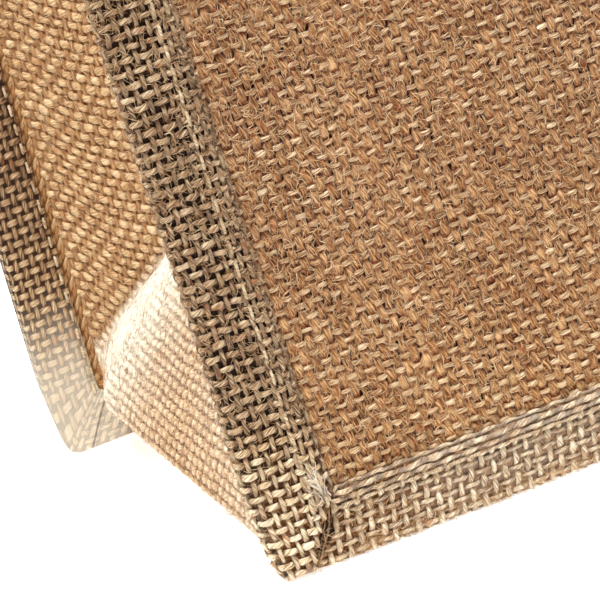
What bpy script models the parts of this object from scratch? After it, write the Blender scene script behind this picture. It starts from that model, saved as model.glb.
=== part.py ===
"""Gusseted burlap sack with bound outside seams, standing open and empty.

Two panels and one long gusset strip (side, bottom, side) are sewn together with their
allowances turned outward. Each seam flange is bound with a folded jute tape, mitred at the
lower corners. X runs across the front, +Y to the back, +Z up. The origin is on the floor, in
the middle of the sack. Sizes are in metres.
"""

import math

import bmesh
import bpy
import numpy as np
from mathutils import Vector

# Driving dimensions
WIDTH = 0.400             # across the front, over both side flanges
HEIGHT = 0.350            # floor to the hemmed top edge
SEAM_DEPTH = 0.165        # front seam to back seam at the bottom corners
FLANGE = 0.0174           # seam line to the tape's outer edge
CLOTH = 0.0014            # burlap thickness
TAPE = 0.0011             # binding tape thickness
GAP = 0.0003              # between neighbouring layers
HEM = 0.025               # depth of the turned top hem

# Panel form
PANEL_BELLY = 0.009       # how far a panel bows outward at its middle
TOP_LEAN = 0.0155         # how far each panel leans inward at the top
LEAN_POWER = 1.3          # the lean grows a little faster than the height
PANEL_RIPPLE = 0.0014     # height of the panels' soft waves
BACK_SWEEP = 0.24         # backward slope of the back flanges at the floor
BACK_SWEEP_HEIGHT = 0.120
BACK_SWEEP_START = 0.014  # the sweep begins this far inside the seam
PANEL_CORNER = 0.003      # radius of a panel's cut corner

# Gusset form
SLACK = 0.0075            # half of the strip's extra width, which lets it sag and fold
SAG_REACH = 0.020         # distance from a seam over which the strip drops to the floor
TRIANGLE_SLOPE = 0.67     # inward lean of the lower triangle, per unit of height
FOLD_SLOPE_LOW = 0.48     # inward slope of the V fold near the bottom
FOLD_SLOPE_TOP = 0.66     # and at the top
RIDGE_ROUND = 0.012       # softness of the ridge between triangle and V fold
CREASE_ROUND = 0.004      # softness of the crease in the middle of the V fold
BEND_ROUND = 0.005        # softness of the bend between bottom and side
SEAM_CORNER = 0.006       # radius of the seam line at the lower corners
LIFT_REACH = 0.070        # length of the bottom over which it rises to its lifted edges
TOP_DIP = 0.026           # how far the strip's top edge dips at the crease
CREASE_DRIFT = {-1: 0.0015, 1: -0.005}   # how far the crease strays to the back, left and right
FOLD_DEEPER = {-1: 1.0, 1: 0.93}         # the right fold is pushed in a little less

# The gusset's bottom edges, left (-1) and right (1): how far each lies inside the tape's
# edge, and above the floor, near the front seam and near the back seam
BOTTOM_EDGES = {
    -1: {"inset_front": 0.0055, "inset_back": 0.0135, "lift_front": 0.0024, "lift_back": 0.0155},
    1: {"inset_front": 0.0085, "inset_back": 0.0060, "lift_front": 0.0080, "lift_back": 0.0036},
}

# Tape form
TAPE_EDGE_FOLD = 0.0036   # width of the tape's turned-under edge, which lies double
BACK_TAPE_START = 0.003   # the hidden half of the tape stops this far from the seam
CORNER_PULL = 0.0028      # how far the flange's corner is drawn in sideways
CORNER_PULL_HEIGHT = 0.026
TAPE_CORNER = 0.003       # radius of the tape's outer corner
TAPE_INNER_CORNER = 0.002
MITRE_FOOT = 0.0079       # where the mitre's fold meets the floor, from the tape's side edge
MITRE_STEP = 0.0008       # the side tape lies this much proud of the bottom tape there
MITRE_FADE = 0.045        # length over which the tapes settle back to their plain course
TAPE_CLEARANCE = 0.00012  # the tape's lower fold is this far off the floor

# Counts of grid stations, for half of the sack
BOTTOM_STEPS = 10
CORNER_STEPS = 4
SIDE_STEPS = 14
PANEL_COLUMNS = 7
PANEL_ROWS = 12

# Derived sizes
SEAM_X = WIDTH / 2 - FLANGE
PANEL_REACH = FLANGE - TAPE - GAP             # seam line to the panel's cut edge
TAPE_REACH = FLANGE - TAPE / 2                # seam line to the middle of the tape's fold
GUSSET_OFFSET = CLOTH + GAP                   # panel mid-surface to gusset mid-surface
FRONT_TAPE_OFFSET = CLOTH / 2 + GAP + TAPE / 2
BACK_TAPE_OFFSET = GUSSET_OFFSET + FRONT_TAPE_OFFSET
STRIP_HALF = SEAM_DEPTH / 2 - GUSSET_OFFSET + SLACK
FLOOR_SKIN = CLOTH / 2

# Base colour (linear) and roughness of each piece
FINISHES = {
    "front_panel": ((0.40, 0.23, 0.11), 0.92),
    "back_panel": ((0.39, 0.22, 0.105), 0.92),
    "gusset": ((0.46, 0.29, 0.16), 0.92),
    "front_binding": ((0.34, 0.24, 0.15), 0.94),
    "back_binding": ((0.33, 0.235, 0.145), 0.94),
}


def smooth_step(value):
    """0 below 0, 1 above 1, and a smooth rise between."""
    value = min(max(value, 0.0), 1.0)
    return value * value * (3 - 2 * value)


def piece_material(name):
    """A Principled material with the piece's base colour and roughness."""
    colour, roughness = FINISHES[name]
    made = bpy.data.materials.new(name)
    made.use_nodes = True
    shader = made.node_tree.nodes["Principled BSDF"]
    shader.inputs["Base Color"].default_value = (*colour, 1.0)
    shader.inputs["Roughness"].default_value = roughness
    shader.inputs["Metallic"].default_value = 0.0
    return made


def panel_depth(x, z, face):
    """Distance of a panel's mid-surface from the middle plane; face is -1 front, 1 back."""
    across = x / SEAM_X
    height = z / HEIGHT
    lean = TOP_LEAN * max(height, 0.0) ** LEAN_POWER
    belly = PANEL_BELLY * (1 - across * across) * (0.8 + 0.6 * height - 0.9 * height * height)
    ripple = PANEL_RIPPLE * math.sin(2.2 * across + 5.0 * height + face) * smooth_step(3 * height)
    depth = SEAM_DEPTH / 2 - lean + belly + ripple
    if face > 0:
        beyond = max(abs(x) - SEAM_X + BACK_SWEEP_START, 0.0)
        fade = max(1 - z / BACK_SWEEP_HEIGHT, 0.0) ** 2
        depth += BACK_SWEEP * beyond * beyond / (2 * (FLANGE + BACK_SWEEP_START)) * fade
    return depth


def drawn_in(x, z):
    """x after the flange's lower corner is drawn in."""
    beyond = abs(x) - SEAM_X
    if beyond <= 0 or z >= CORNER_PULL_HEIGHT:
        return x
    pull = CORNER_PULL * (1 - z / CORNER_PULL_HEIGHT) ** 2 * beyond / FLANGE
    return math.copysign(abs(x) - pull, x)


def on_flange(x, z, face, inward):
    """A point `inward` of a panel's mid-surface, measured square to it."""
    step = 0.001
    slope_x = (panel_depth(x + step, z, face) - panel_depth(x - step, z, face)) / (2 * step)
    slope_z = (panel_depth(x, z + step, face) - panel_depth(x, z - step, face)) / (2 * step)
    outward = Vector((-slope_x, face, -slope_z)).normalized()
    base = Vector((drawn_in(x, z), face * panel_depth(x, z, face), z))
    moved = base - outward * inward
    return Vector((moved.x, moved.y, z))


def sheet_object(name, collection, columns, rows, place, thickness, double=None):
    """A grid laid out by place(column, row), given half its thickness to each side.

    double(column, row) is true where the cloth lies double.
    """
    grid = bmesh.new()
    bmesh.ops.create_grid(grid, x_segments=columns - 1, y_segments=rows - 1, size=0.5)
    doubled = []
    for vert in grid.verts:
        column = round((vert.co.x + 0.5) * (columns - 1))
        row = round((vert.co.y + 0.5) * (rows - 1))
        vert.co = place(column, row)
        if double and double(column, row):
            doubled.append(vert.index)
    mesh = bpy.data.meshes.new(name)
    grid.to_mesh(mesh)
    grid.free()
    mesh.shade_smooth()
    mesh.materials.append(piece_material(name))
    piece = bpy.data.objects.new(name, mesh)
    collection.objects.link(piece)
    shell = piece.modifiers.new("cloth", "SOLIDIFY")
    shell.offset = 0.0
    shell.use_even_offset = True
    shell.thickness = thickness
    if doubled:
        group = piece.vertex_groups.new(name="double")
        group.add(doubled, 1.0, "REPLACE")
        shell.vertex_group = group.name
        shell.thickness_vertex_group = 0.5
        shell.thickness = thickness * 2
    return piece


def rounded_path(edge, floor, radius, part, share):
    """(outward, up) at a share of one part of the path: bottom, corner or side."""
    if part == "bottom":
        return (edge - radius) * share, floor
    if part == "corner":
        angle = share * math.pi / 2
        return edge - radius + radius * math.sin(angle), floor + radius - radius * math.cos(angle)
    return edge, floor + radius + (HEIGHT - floor - radius) * share


def half_stations():
    """Stations (part, share) from the middle of the bottom, round a corner, to the top."""
    stations = [("bottom", step / BOTTOM_STEPS) for step in range(BOTTOM_STEPS)]
    stations = [(part, 1 - (1 - share) ** 1.6) for part, share in stations]
    stations += [("corner", step / CORNER_STEPS) for step in range(CORNER_STEPS)]
    stations += [("side", (step / SIDE_STEPS) ** 1.3) for step in range(SIDE_STEPS)]
    hem_line = 1 - HEM / (HEIGHT - FLANGE - SEAM_CORNER)
    stations += [("side", hem_line + 0.006), ("side", 1.0)]
    return sorted(stations, key=lambda station: (("bottom", "corner", "side").index(station[0]), station[1]))


def both_halves(stations):
    """Stations of the whole strip, left top to right top, each with its hand (-1 or 1)."""
    left = [(-1, station) for station in reversed(stations)]
    right = [(1, station) for station in stations[1:]]
    return left + right


# Gusset

def seam_length(part, share):
    """Length along the seam line from the middle of the bottom."""
    bottom = SEAM_X - SEAM_CORNER
    corner = SEAM_CORNER * math.pi / 2
    side = HEIGHT - FLANGE - SEAM_CORNER
    if part == "bottom":
        return bottom * share
    if part == "corner":
        return bottom + corner * share
    return bottom + corner + side * share


def soft_minimum(first, second, softness):
    """The lower of two values, with the join rounded off."""
    blend = max(softness - abs(first - second), 0.0)
    return min(first, second) - blend * blend / (4 * softness)


def bottom_edge(from_seam, face, hand):
    """The bottom edge's inset and lift where a lengthwise line crosses it."""
    edge = BOTTOM_EDGES[hand]
    from_front = from_seam / (2 * STRIP_HALF)
    if face > 0:
        from_front = 1 - from_front
    inset = edge["inset_front"] + (edge["inset_back"] - edge["inset_front"]) * from_front
    lift = edge["lift_front"] + (edge["lift_back"] - edge["lift_front"]) * from_front
    return inset, lift


def side_inset(from_seam, z, edge, sag, hand):
    """How far inside the seam line the gusset's side lies, at a height and a distance across."""
    inset, lift = edge
    triangle = inset + TRIANGLE_SLOPE * (z - lift) - FLANGE
    if triangle < 0:
        triangle *= sag
    slope = FOLD_SLOPE_LOW + (FOLD_SLOPE_TOP - FOLD_SLOPE_LOW) * smooth_step(z / HEIGHT)
    to_crease = STRIP_HALF - from_seam
    rounded = math.hypot(STRIP_HALF, CREASE_ROUND) - math.hypot(to_crease, CREASE_ROUND)
    fold = slope * FOLD_DEEPER[hand] * rounded
    softness = max(RIDGE_ROUND * sag, 1e-6)
    return soft_minimum(triangle, fold, softness)


def strip_line(from_seam, face, hand):
    """Half of one lengthwise line of the strip, as (lengths, outward, up), and the lengths
    at which it turns up the side and ends."""
    sag = smooth_step(from_seam / SAG_REACH)
    edge = bottom_edge(from_seam, face, hand)
    inset, lift = edge
    middle = FLANGE - (FLANGE - FLOOR_SKIN) * sag
    corner_z = FLANGE - (FLANGE - lift) * sag
    corner_x = SEAM_X + (FLANGE - inset) * sag
    spacing = 0.001
    bottom = np.arange(0.0, corner_x, spacing)
    rises = [smooth_step(1 - (corner_x - x) / LIFT_REACH) for x in bottom]
    heights = np.arange(corner_z, HEIGHT + 2 * BEND_ROUND, spacing)
    insets = np.array([side_inset(from_seam, z, edge, sag, hand) for z in heights])
    outward = np.concatenate([bottom, SEAM_X - insets])
    upward = np.concatenate([middle + (corner_z - middle) * np.array(rises), heights])
    window = 2 * round(BEND_ROUND / spacing) + 1
    kernel = np.ones(window) / window
    for _ in range(2):
        padded_out = np.pad(outward, window // 2, mode="reflect", reflect_type="odd")
        padded_up = np.pad(upward, window // 2, mode="reflect", reflect_type="odd")
        outward = np.convolve(padded_out, kernel, mode="valid")
        upward = np.convolve(padded_up, kernel, mode="valid")
    steps = np.hypot(np.diff(outward), np.diff(upward))
    lengths = np.concatenate([[0.0], np.cumsum(steps)])
    top = HEIGHT - TOP_DIP * (from_seam / STRIP_HALF) ** 1.3
    side = slice(len(bottom), None)
    end = float(np.interp(top, upward[side], lengths[side]))
    return (lengths, outward, upward), float(lengths[len(bottom)]), end


def line_point(line, part, share):
    """(outward, up) on a strip line, level with a station of the seam line."""
    (lengths, outward, upward), turn, end = line
    if part == "bottom":
        length = turn * share * (1 - SEAM_CORNER / SEAM_X)
    else:
        start = seam_length("corner", 0.0)
        risen = (seam_length(part, share) - start) / (seam_length("side", 1.0) - start)
        low = turn * (1 - SEAM_CORNER / SEAM_X)
        length = low + (end - low) * risen
    return float(np.interp(length, lengths, outward)), float(np.interp(length, lengths, upward))


FLANGE_ROWS = (PANEL_REACH, 0.0108, 0.0055, 0.0015)
BODY_SHARES = (0.016, 0.045, 0.085, 0.135, 0.19, 0.26, 0.35, 0.44, 0.53, 0.62, 0.71, 0.80, 0.90)


def gusset_rows():
    """Rows from the front flange to the back flange: (face, reach outside the seam or
    None, distance from the seam)."""
    front = [(-1, reach, 0.0) for reach in FLANGE_ROWS] + [(-1, 0.0, 0.0)]
    front += [(-1, None, share * STRIP_HALF) for share in BODY_SHARES]
    back = [(1, reach, from_seam) for _, reach, from_seam in reversed(front)]
    return front + [(-1, None, STRIP_HALF)] + back


def make_gusset(collection):
    """The strip that makes both sides and the bottom, with its turned-out allowances."""
    stations = both_halves(half_stations())
    rows = gusset_rows()
    lines = {}
    for hand in (-1, 1):
        for face, reach, from_seam in rows:
            if reach is None:
                lines[hand, face, from_seam] = strip_line(from_seam, face, hand)

    def place(column, row):
        hand, (part, share) = stations[column]
        face, reach, from_seam = rows[row]
        if reach is not None:
            radius = SEAM_CORNER + (PANEL_CORNER - SEAM_CORNER) * reach / PANEL_REACH
            x, z = rounded_path(SEAM_X + reach, FLANGE - reach, radius, part, share)
            return on_flange(hand * x, z, face, GUSSET_OFFSET)
        x, z = line_point(lines[hand, face, from_seam], part, share)
        seam_x = rounded_path(SEAM_X, FLANGE, SEAM_CORNER, part, share)[0]
        across = 1 - from_seam / STRIP_HALF
        depth = (panel_depth(hand * seam_x, z, face) - GUSSET_OFFSET) * across
        drift = CREASE_DRIFT[hand] * (1 - across) * smooth_step(z / HEIGHT)
        return Vector((drawn_in(hand * x, z), face * depth + drift, z))

    def hemmed(column, row):
        part, share = stations[column][1]
        in_hem = part == "side" and seam_length(part, 1.0) - seam_length(part, share) < HEM
        return in_hem and rows[row][1] is None and rows[row][2] > 0.05 * STRIP_HALF

    return sheet_object("gusset", collection, len(stations), len(rows), place, CLOTH, hemmed)


# Panels

def make_panel(name, collection, face):
    """A front or back panel, cut to the flange's edge, with a turned hem at the top."""
    inner = SEAM_X - BACK_SWEEP_START / 2
    columns = [inner * math.sin(math.pi / 2 * step / PANEL_COLUMNS) for step in range(PANEL_COLUMNS + 1)]
    columns += [SEAM_X, SEAM_X + 0.0065, SEAM_X + PANEL_REACH - PANEL_CORNER, SEAM_X + PANEL_REACH]
    columns = [-x for x in reversed(columns[1:])] + columns
    low = FLANGE - PANEL_REACH
    hem_line = HEIGHT - HEM
    heights = [low, low + PANEL_CORNER]
    heights += [FLANGE + (hem_line - FLANGE) * step / PANEL_ROWS for step in range(PANEL_ROWS + 1)]
    heights += [hem_line + 0.002, HEIGHT]

    def place(column, row):
        x = columns[column]
        z = heights[row]
        if row == 0 and column in (0, len(columns) - 1):
            cut = PANEL_CORNER * (1 - math.sqrt(0.5))
            x = math.copysign(abs(x) - cut, x)
            z += cut
        return on_flange(x, z, face, 0.0)

    def hemmed(column, row):
        return heights[row] > hem_line + 0.001 and abs(columns[column]) <= inner

    return sheet_object(name, collection, len(columns), len(heights), place, CLOTH, hemmed)


# Bindings

def tape_profile():
    """The folded tape across its width: (reach outside the seam, inward offset, double)."""
    raised = -FRONT_TAPE_OFFSET - TAPE / 2
    turn = TAPE_REACH - 0.0006
    rise = 0.00035
    return [
        (0.0003, raised, True),
        (TAPE_EDGE_FOLD, raised, True),
        (TAPE_EDGE_FOLD + 0.0009, -FRONT_TAPE_OFFSET, False),
        (0.0105, -FRONT_TAPE_OFFSET, False),
        (turn, -FRONT_TAPE_OFFSET, False),
        (TAPE_REACH, -FRONT_TAPE_OFFSET + rise, False),
        (TAPE_REACH, BACK_TAPE_OFFSET - rise, False),
        (turn, BACK_TAPE_OFFSET, False),
        (0.0100, BACK_TAPE_OFFSET, False),
        (BACK_TAPE_START, BACK_TAPE_OFFSET, False),
    ]


def tape_stations():
    """Half of the tape's course: inner point, outer point, and how proud the tape lies."""
    outer_x = SEAM_X + TAPE_REACH
    low = TAPE / 2 + TAPE_CLEARANCE
    inner_x = SEAM_X - TAPE_INNER_CORNER
    inner_z = FLANGE + TAPE_INNER_CORNER
    foot = WIDTH / 2 - MITRE_FOOT
    stations = []
    for step in range(BOTTOM_STEPS + 1):
        x = inner_x * (1 - (1 - step / BOTTOM_STEPS) ** 1.6)
        skew = (foot - inner_x) * smooth_step(1 - (inner_x - x) / MITRE_FADE)
        stations.append(((x, FLANGE), (x + skew, low), 0.0))
    outer_corner = [
        (foot + 0.0007, low),
        (outer_x - TAPE_CORNER, low),
        (outer_x - TAPE_CORNER * (1 - math.sqrt(0.5)), low + TAPE_CORNER * (1 - math.sqrt(0.5))),
        (outer_x, low + TAPE_CORNER),
        (outer_x, low + 0.010),
    ]
    for step, outer in enumerate(outer_corner, start=1):
        angle = step / (len(outer_corner) + 1) * math.pi / 2
        inner = (inner_x + TAPE_INNER_CORNER * math.sin(angle), inner_z - TAPE_INNER_CORNER * math.cos(angle))
        stations.append((inner, outer, 1.0))
    for step in range(SIDE_STEPS + 1):
        rise = (step / SIDE_STEPS) ** 1.3
        z = inner_z + (HEIGHT - inner_z) * rise
        proud = 1 - smooth_step((z - inner_z) / MITRE_FADE)
        stations.append(((SEAM_X, z), (outer_x, z), proud))
    return stations


def make_binding(name, collection, face):
    """The tape folded over a flange: down one side, along the bottom and up the other."""
    stations = both_halves(tape_stations())
    profile = tape_profile()

    def place(column, row):
        hand, (inner, outer, proud) = stations[column]
        reach, inward, _ = profile[row]
        share = reach / TAPE_REACH
        x = inner[0] + (outer[0] - inner[0]) * share
        z = inner[1] + (outer[1] - inner[1]) * share
        if inward < 0:
            inward -= MITRE_STEP * proud
        return on_flange(hand * x, z, face, inward)

    def turned_under(column, row):
        return profile[row][2]

    return sheet_object(name, collection, len(stations), len(profile), place, TAPE, turned_under)


def clear_scene():
    for old in list(bpy.data.objects):
        bpy.data.objects.remove(old, do_unlink=True)


def main():
    clear_scene()
    sack = bpy.data.collections.new("burlap_sack")
    bpy.context.scene.collection.children.link(sack)
    make_panel("front_panel", sack, -1)
    make_panel("back_panel", sack, 1)
    make_gusset(sack)
    make_binding("front_binding", sack, -1)
    make_binding("back_binding", sack, 1)


main()
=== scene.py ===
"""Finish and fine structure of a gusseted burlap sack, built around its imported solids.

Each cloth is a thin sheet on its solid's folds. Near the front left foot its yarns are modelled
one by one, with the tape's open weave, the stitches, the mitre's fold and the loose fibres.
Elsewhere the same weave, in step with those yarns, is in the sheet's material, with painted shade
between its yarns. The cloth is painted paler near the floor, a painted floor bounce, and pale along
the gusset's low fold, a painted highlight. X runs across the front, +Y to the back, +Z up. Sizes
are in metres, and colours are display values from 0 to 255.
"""

import math

import bmesh
import bpy
import numpy as np
from mathutils import Matrix, Vector


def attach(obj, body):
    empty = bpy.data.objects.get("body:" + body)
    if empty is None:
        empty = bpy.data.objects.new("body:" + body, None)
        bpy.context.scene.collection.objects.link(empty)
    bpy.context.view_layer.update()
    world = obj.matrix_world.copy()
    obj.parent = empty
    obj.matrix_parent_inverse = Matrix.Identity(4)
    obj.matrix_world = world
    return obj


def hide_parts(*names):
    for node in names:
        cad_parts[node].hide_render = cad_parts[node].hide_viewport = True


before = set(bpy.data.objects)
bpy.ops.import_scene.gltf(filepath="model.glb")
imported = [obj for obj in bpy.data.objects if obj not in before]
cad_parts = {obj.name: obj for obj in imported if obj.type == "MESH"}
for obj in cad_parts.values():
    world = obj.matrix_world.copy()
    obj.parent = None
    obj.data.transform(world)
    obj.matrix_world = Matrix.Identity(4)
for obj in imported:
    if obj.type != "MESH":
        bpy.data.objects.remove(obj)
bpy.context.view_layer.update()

random = np.random.default_rng(417)

# Sizes of the solids
WIDTH = 0.400
HEIGHT = 0.350
SEAM_DEPTH = 0.165
FLANGE = 0.0174
CLOTH = 0.0014
TAPE = 0.0011
GAP = 0.0003
HEM = 0.025
PANEL_BELLY = 0.009
TOP_LEAN = 0.0155
LEAN_POWER = 1.3
PANEL_RIPPLE = 0.0014
BACK_SWEEP = 0.24
BACK_SWEEP_HEIGHT = 0.120
BACK_SWEEP_START = 0.014
PANEL_CORNER = 0.003
SLACK = 0.0075
SAG_REACH = 0.020
TRIANGLE_SLOPE = 0.67
FOLD_SLOPE_LOW = 0.48
FOLD_SLOPE_TOP = 0.66
CREST_RISE = 0.0015        # the low fold's crest stands a little over the plain fold
CREST_SHELF = 0.5          # and turns over towards the side, 0 straight and 1 round
CREASE_ROUND = 0.004
BEND_ROUND = 0.002
SEAM_CORNER = 0.006
LIFT_REACH = 0.070
TOP_DIP = 0.026
CREASE_DRIFT = {-1: 0.0015, 1: -0.005}
FOLD_DEEPER = {-1: 1.0, 1: 0.93}
BOTTOM_EDGES = {
    -1: {"inset_front": 0.0040, "inset_back": 0.0120, "lift_front": 0.0018, "lift_back": 0.0142},
    1: {"inset_front": 0.0085, "inset_back": 0.0060, "lift_front": 0.0080, "lift_back": 0.0036},
}
TAPE_FOOT_ROUND = 0.0036   # the upright tape's outer corner near the floor
BACK_TAPE_START = 0.003
CORNER_PULL = 0.0028
CORNER_PULL_HEIGHT = 0.026
TAPE_CORNER = 0.003
TAPE_INNER_CORNER = 0.002
MITRE_FOOT = 0.0079
MITRE_STEP = 0.0008
MITRE_FADE = 0.045
TAPE_CLEARANCE = 0.00012

SEAM_X = WIDTH / 2 - FLANGE
PANEL_REACH = FLANGE - TAPE - GAP
TAPE_REACH = FLANGE - TAPE / 2
GUSSET_OFFSET = CLOTH + GAP
FRONT_TAPE_OFFSET = CLOTH / 2 + GAP + TAPE / 2
BACK_TAPE_OFFSET = GUSSET_OFFSET + FRONT_TAPE_OFFSET
STRIP_HALF = SEAM_DEPTH / 2 - GUSSET_OFFSET + SLACK
FLOOR_SKIN = CLOTH / 2
FINE = 0.001               # spacing of the surfaces' sample points

# Weaves: distance between neighbouring yarns
WARP_PITCH = 0.00226       # burlap, lengthwise yarns
WEFT_PITCH = 0.0028        # burlap, crosswise yarns
TAPE_END_PITCH = 0.0024    # tape, lengthwise yarns
TAPE_PICK_PITCH = 0.00285  # tape, crosswise yarns

# Camera, at the viewing angle of a close look at the front left foot
CAMERA_PLACE = np.array((-0.45871222, -1.00073598, 0.31112009))
CAMERA_RIGHT = np.array((0.8925040, -0.3523696, -0.2815534))
CAMERA_UP = np.array((0.3488403, 0.1435681, 0.9261202))
CAMERA_BACK = np.array((-0.2859145, -0.9247831, 0.2510558))
CAMERA_LENS = 261.0654
SENSOR = 36.0


# ---------------------------------------------------------------- surfaces of the solids

def smooth_step(value):
    """0 below 0, 1 above 1, and a smooth rise between."""
    value = np.clip(value, 0.0, 1.0)
    return value * value * (3 - 2 * value)


def panel_depth(x, z, face):
    """Distance of a panel's mid-surface from the middle plane; face is -1 front, 1 back."""
    across = x / SEAM_X
    height = z / HEIGHT
    lean = TOP_LEAN * np.maximum(height, 0.0) ** LEAN_POWER
    belly = PANEL_BELLY * (1 - across * across) * (0.8 + 0.6 * height - 0.9 * height * height)
    ripple = PANEL_RIPPLE * np.sin(2.2 * across + 5.0 * height + face) * smooth_step(3 * height)
    depth = SEAM_DEPTH / 2 - lean + belly + ripple
    if face > 0:
        beyond = np.maximum(np.abs(x) - SEAM_X + BACK_SWEEP_START, 0.0)
        fade = np.maximum(1 - z / BACK_SWEEP_HEIGHT, 0.0) ** 2
        depth = depth + BACK_SWEEP * beyond * beyond / (2 * (FLANGE + BACK_SWEEP_START)) * fade
    return depth


def drawn_in(x, z):
    """x after the flange's lower corner is drawn in."""
    beyond = np.maximum(np.abs(x) - SEAM_X, 0.0)
    pull = CORNER_PULL * np.maximum(1 - z / CORNER_PULL_HEIGHT, 0.0) ** 2 * beyond / FLANGE
    return x - np.sign(x) * pull


def on_flange(x, z, face, inward):
    """Points `inward` of a panel's mid-surface, measured square to it."""
    x, z, inward = np.broadcast_arrays(*(np.asarray(part, float) for part in (x, z, inward)))
    step = 0.001
    slope_x = (panel_depth(x + step, z, face) - panel_depth(x - step, z, face)) / (2 * step)
    slope_z = (panel_depth(x, z + step, face) - panel_depth(x, z - step, face)) / (2 * step)
    size = np.sqrt(slope_x ** 2 + 1 + slope_z ** 2)
    moved_x = drawn_in(x, z) + slope_x / size * inward
    moved_y = face * panel_depth(x, z, face) - face / size * inward
    return np.stack([moved_x, moved_y, z], axis=-1)


def seam_station(length):
    """(part, share) of a place on the seam line, from its length from the bottom's middle."""
    bottom = SEAM_X - SEAM_CORNER
    corner = SEAM_CORNER * math.pi / 2
    if length < bottom:
        return "bottom", length / bottom
    if length < bottom + corner:
        return "corner", (length - bottom) / corner
    return "side", (length - bottom - corner) / (HEIGHT - FLANGE - SEAM_CORNER)


SEAM_BOTTOM = SEAM_X - SEAM_CORNER
SEAM_HALF = SEAM_BOTTOM + SEAM_CORNER * math.pi / 2 + HEIGHT - FLANGE - SEAM_CORNER


def rounded_path(edge, floor, radius, part, share):
    """(outward, up) at a share of one part of the path: bottom, corner or side."""
    if part == "bottom":
        return (edge - radius) * share, floor
    if part == "corner":
        angle = share * math.pi / 2
        return edge - radius + radius * math.sin(angle), floor + radius - radius * math.cos(angle)
    return edge, floor + radius + (HEIGHT - floor - radius) * share


def low_fold(from_seam, face, hand):
    """The triangle at the gusset's foot: its inset, its lift off the floor, how deep the fold
    above it goes in, and the height of its crest."""
    sag = smooth_step(from_seam / SAG_REACH)
    edge = BOTTOM_EDGES[hand]
    from_front = from_seam / (2 * STRIP_HALF)
    from_front = np.where(face > 0, 1 - from_front, from_front)
    inset = edge["inset_front"] + (edge["inset_back"] - edge["inset_front"]) * from_front
    lift = edge["lift_front"] + (edge["lift_back"] - edge["lift_front"]) * from_front
    depth = FOLD_DEEPER[hand] * (np.hypot(STRIP_HALF, CREASE_ROUND)
                                 - np.hypot(STRIP_HALF - from_seam, CREASE_ROUND))
    crest = lift + (depth * FOLD_SLOPE_LOW - inset + FLANGE) / TRIANGLE_SLOPE + CREST_RISE * sag
    return sag, inset, lift, depth, crest


def below_crest(across, points):
    """Height of the low fold's crest above points of the gusset."""
    face = np.where(across <= STRIP_HALF, -1, 1)
    from_seam = np.clip(np.where(face < 0, across, 2 * STRIP_HALF - across), 0, STRIP_HALF)
    crests = [low_fold(from_seam, face, hand)[4] for hand in (-1, 1)]
    return np.where(points[..., 0] < 0, *crests) - points[..., 2]


CREST_LIGHT_HELD = 0.018        # the gusset carries painted highlight this far below its low fold's crest, less over about this much more, and keeps this share of it at the foot
CREST_LIGHT_FADE = 0.017        # less over about this much more,
CREST_LIGHT_LEFT = 0.05         # and keeps this share of it at the foot
BAND_FOOT = 0.0155         # the crest's felted band ends this far below it


def crest_highlight(across, points, rise=0.007):
    """How much painted highlight the gusset carries: most along the crest of its low fold, and less
    down from it.
    It begins over the given rise above the crest."""
    below = below_crest(across, points)
    fade = np.exp(-np.maximum(below - CREST_LIGHT_HELD, 0) / CREST_LIGHT_FADE)
    return smooth_step((below + 0.75 * rise) / rise) * (CREST_LIGHT_LEFT + (1 - CREST_LIGHT_LEFT) * fade)


def crest_band(across, points):
    """1 in the smooth, felted band along the crest, 0 elsewhere."""
    below = below_crest(across, points)
    return smooth_step((below + 0.0012) / 0.0015) * smooth_step((BAND_FOOT - below) / 0.007)


def run_along(*line):
    """Length travelled at each point of a line, from its two coordinates."""
    return np.concatenate([[0.0], np.cumsum(np.hypot(*map(np.diff, line)))])


def strip_line(from_seam, face, hand):
    """Half of one lengthwise line of the gusset: lengths, outward, upward, turn and end."""
    sag, inset, lift, depth, crest = (float(part) for part in low_fold(from_seam, face, hand))
    middle = FLANGE - (FLANGE - FLOOR_SKIN) * sag
    corner_z = FLANGE - (FLANGE - lift) * sag
    corner_x = SEAM_X + (FLANGE - inset) * sag
    bottom = np.arange(0.0, corner_x, FINE)
    rises = smooth_step(1 - (corner_x - bottom) / LIFT_REACH)
    heights = np.arange(corner_z, HEIGHT + 2 * BEND_ROUND, FINE / 4)
    slope = FOLD_SLOPE_LOW + (FOLD_SLOPE_TOP - FOLD_SLOPE_LOW) * smooth_step(heights / HEIGHT)
    fold = depth * slope
    start = (inset - FLANGE) * sag
    climb = np.clip((heights - corner_z) / (crest - corner_z), 0, 1)
    shelf = 1 - np.sqrt(1 - climb * climb) - climb
    insets = start + (fold - start) * (climb + CREST_SHELF * shelf)
    outward = np.concatenate([bottom, SEAM_X - insets])
    upward = np.concatenate([middle + (corner_z - middle) * rises, heights])
    travelled = run_along(outward, upward)
    turned = round(travelled[len(bottom)] / FINE)
    lengths = np.arange(0.0, travelled[-1], FINE)
    outward, upward = np.interp(lengths, travelled, outward), np.interp(lengths, travelled, upward)
    kernel = np.ones(2 * round(BEND_ROUND / FINE) + 1)
    kernel /= kernel.sum()
    for _ in range(2):
        outward, upward = (
            np.convolve(np.pad(line, len(kernel) // 2, mode="reflect", reflect_type="odd"),
                        kernel, mode="valid") for line in (outward, upward))
    lengths = run_along(outward, upward)
    top = HEIGHT - TOP_DIP * (from_seam / STRIP_HALF) ** 1.3
    end = np.interp(top, upward[turned:], lengths[turned:])
    return lengths, outward, upward, lengths[turned], end


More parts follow.
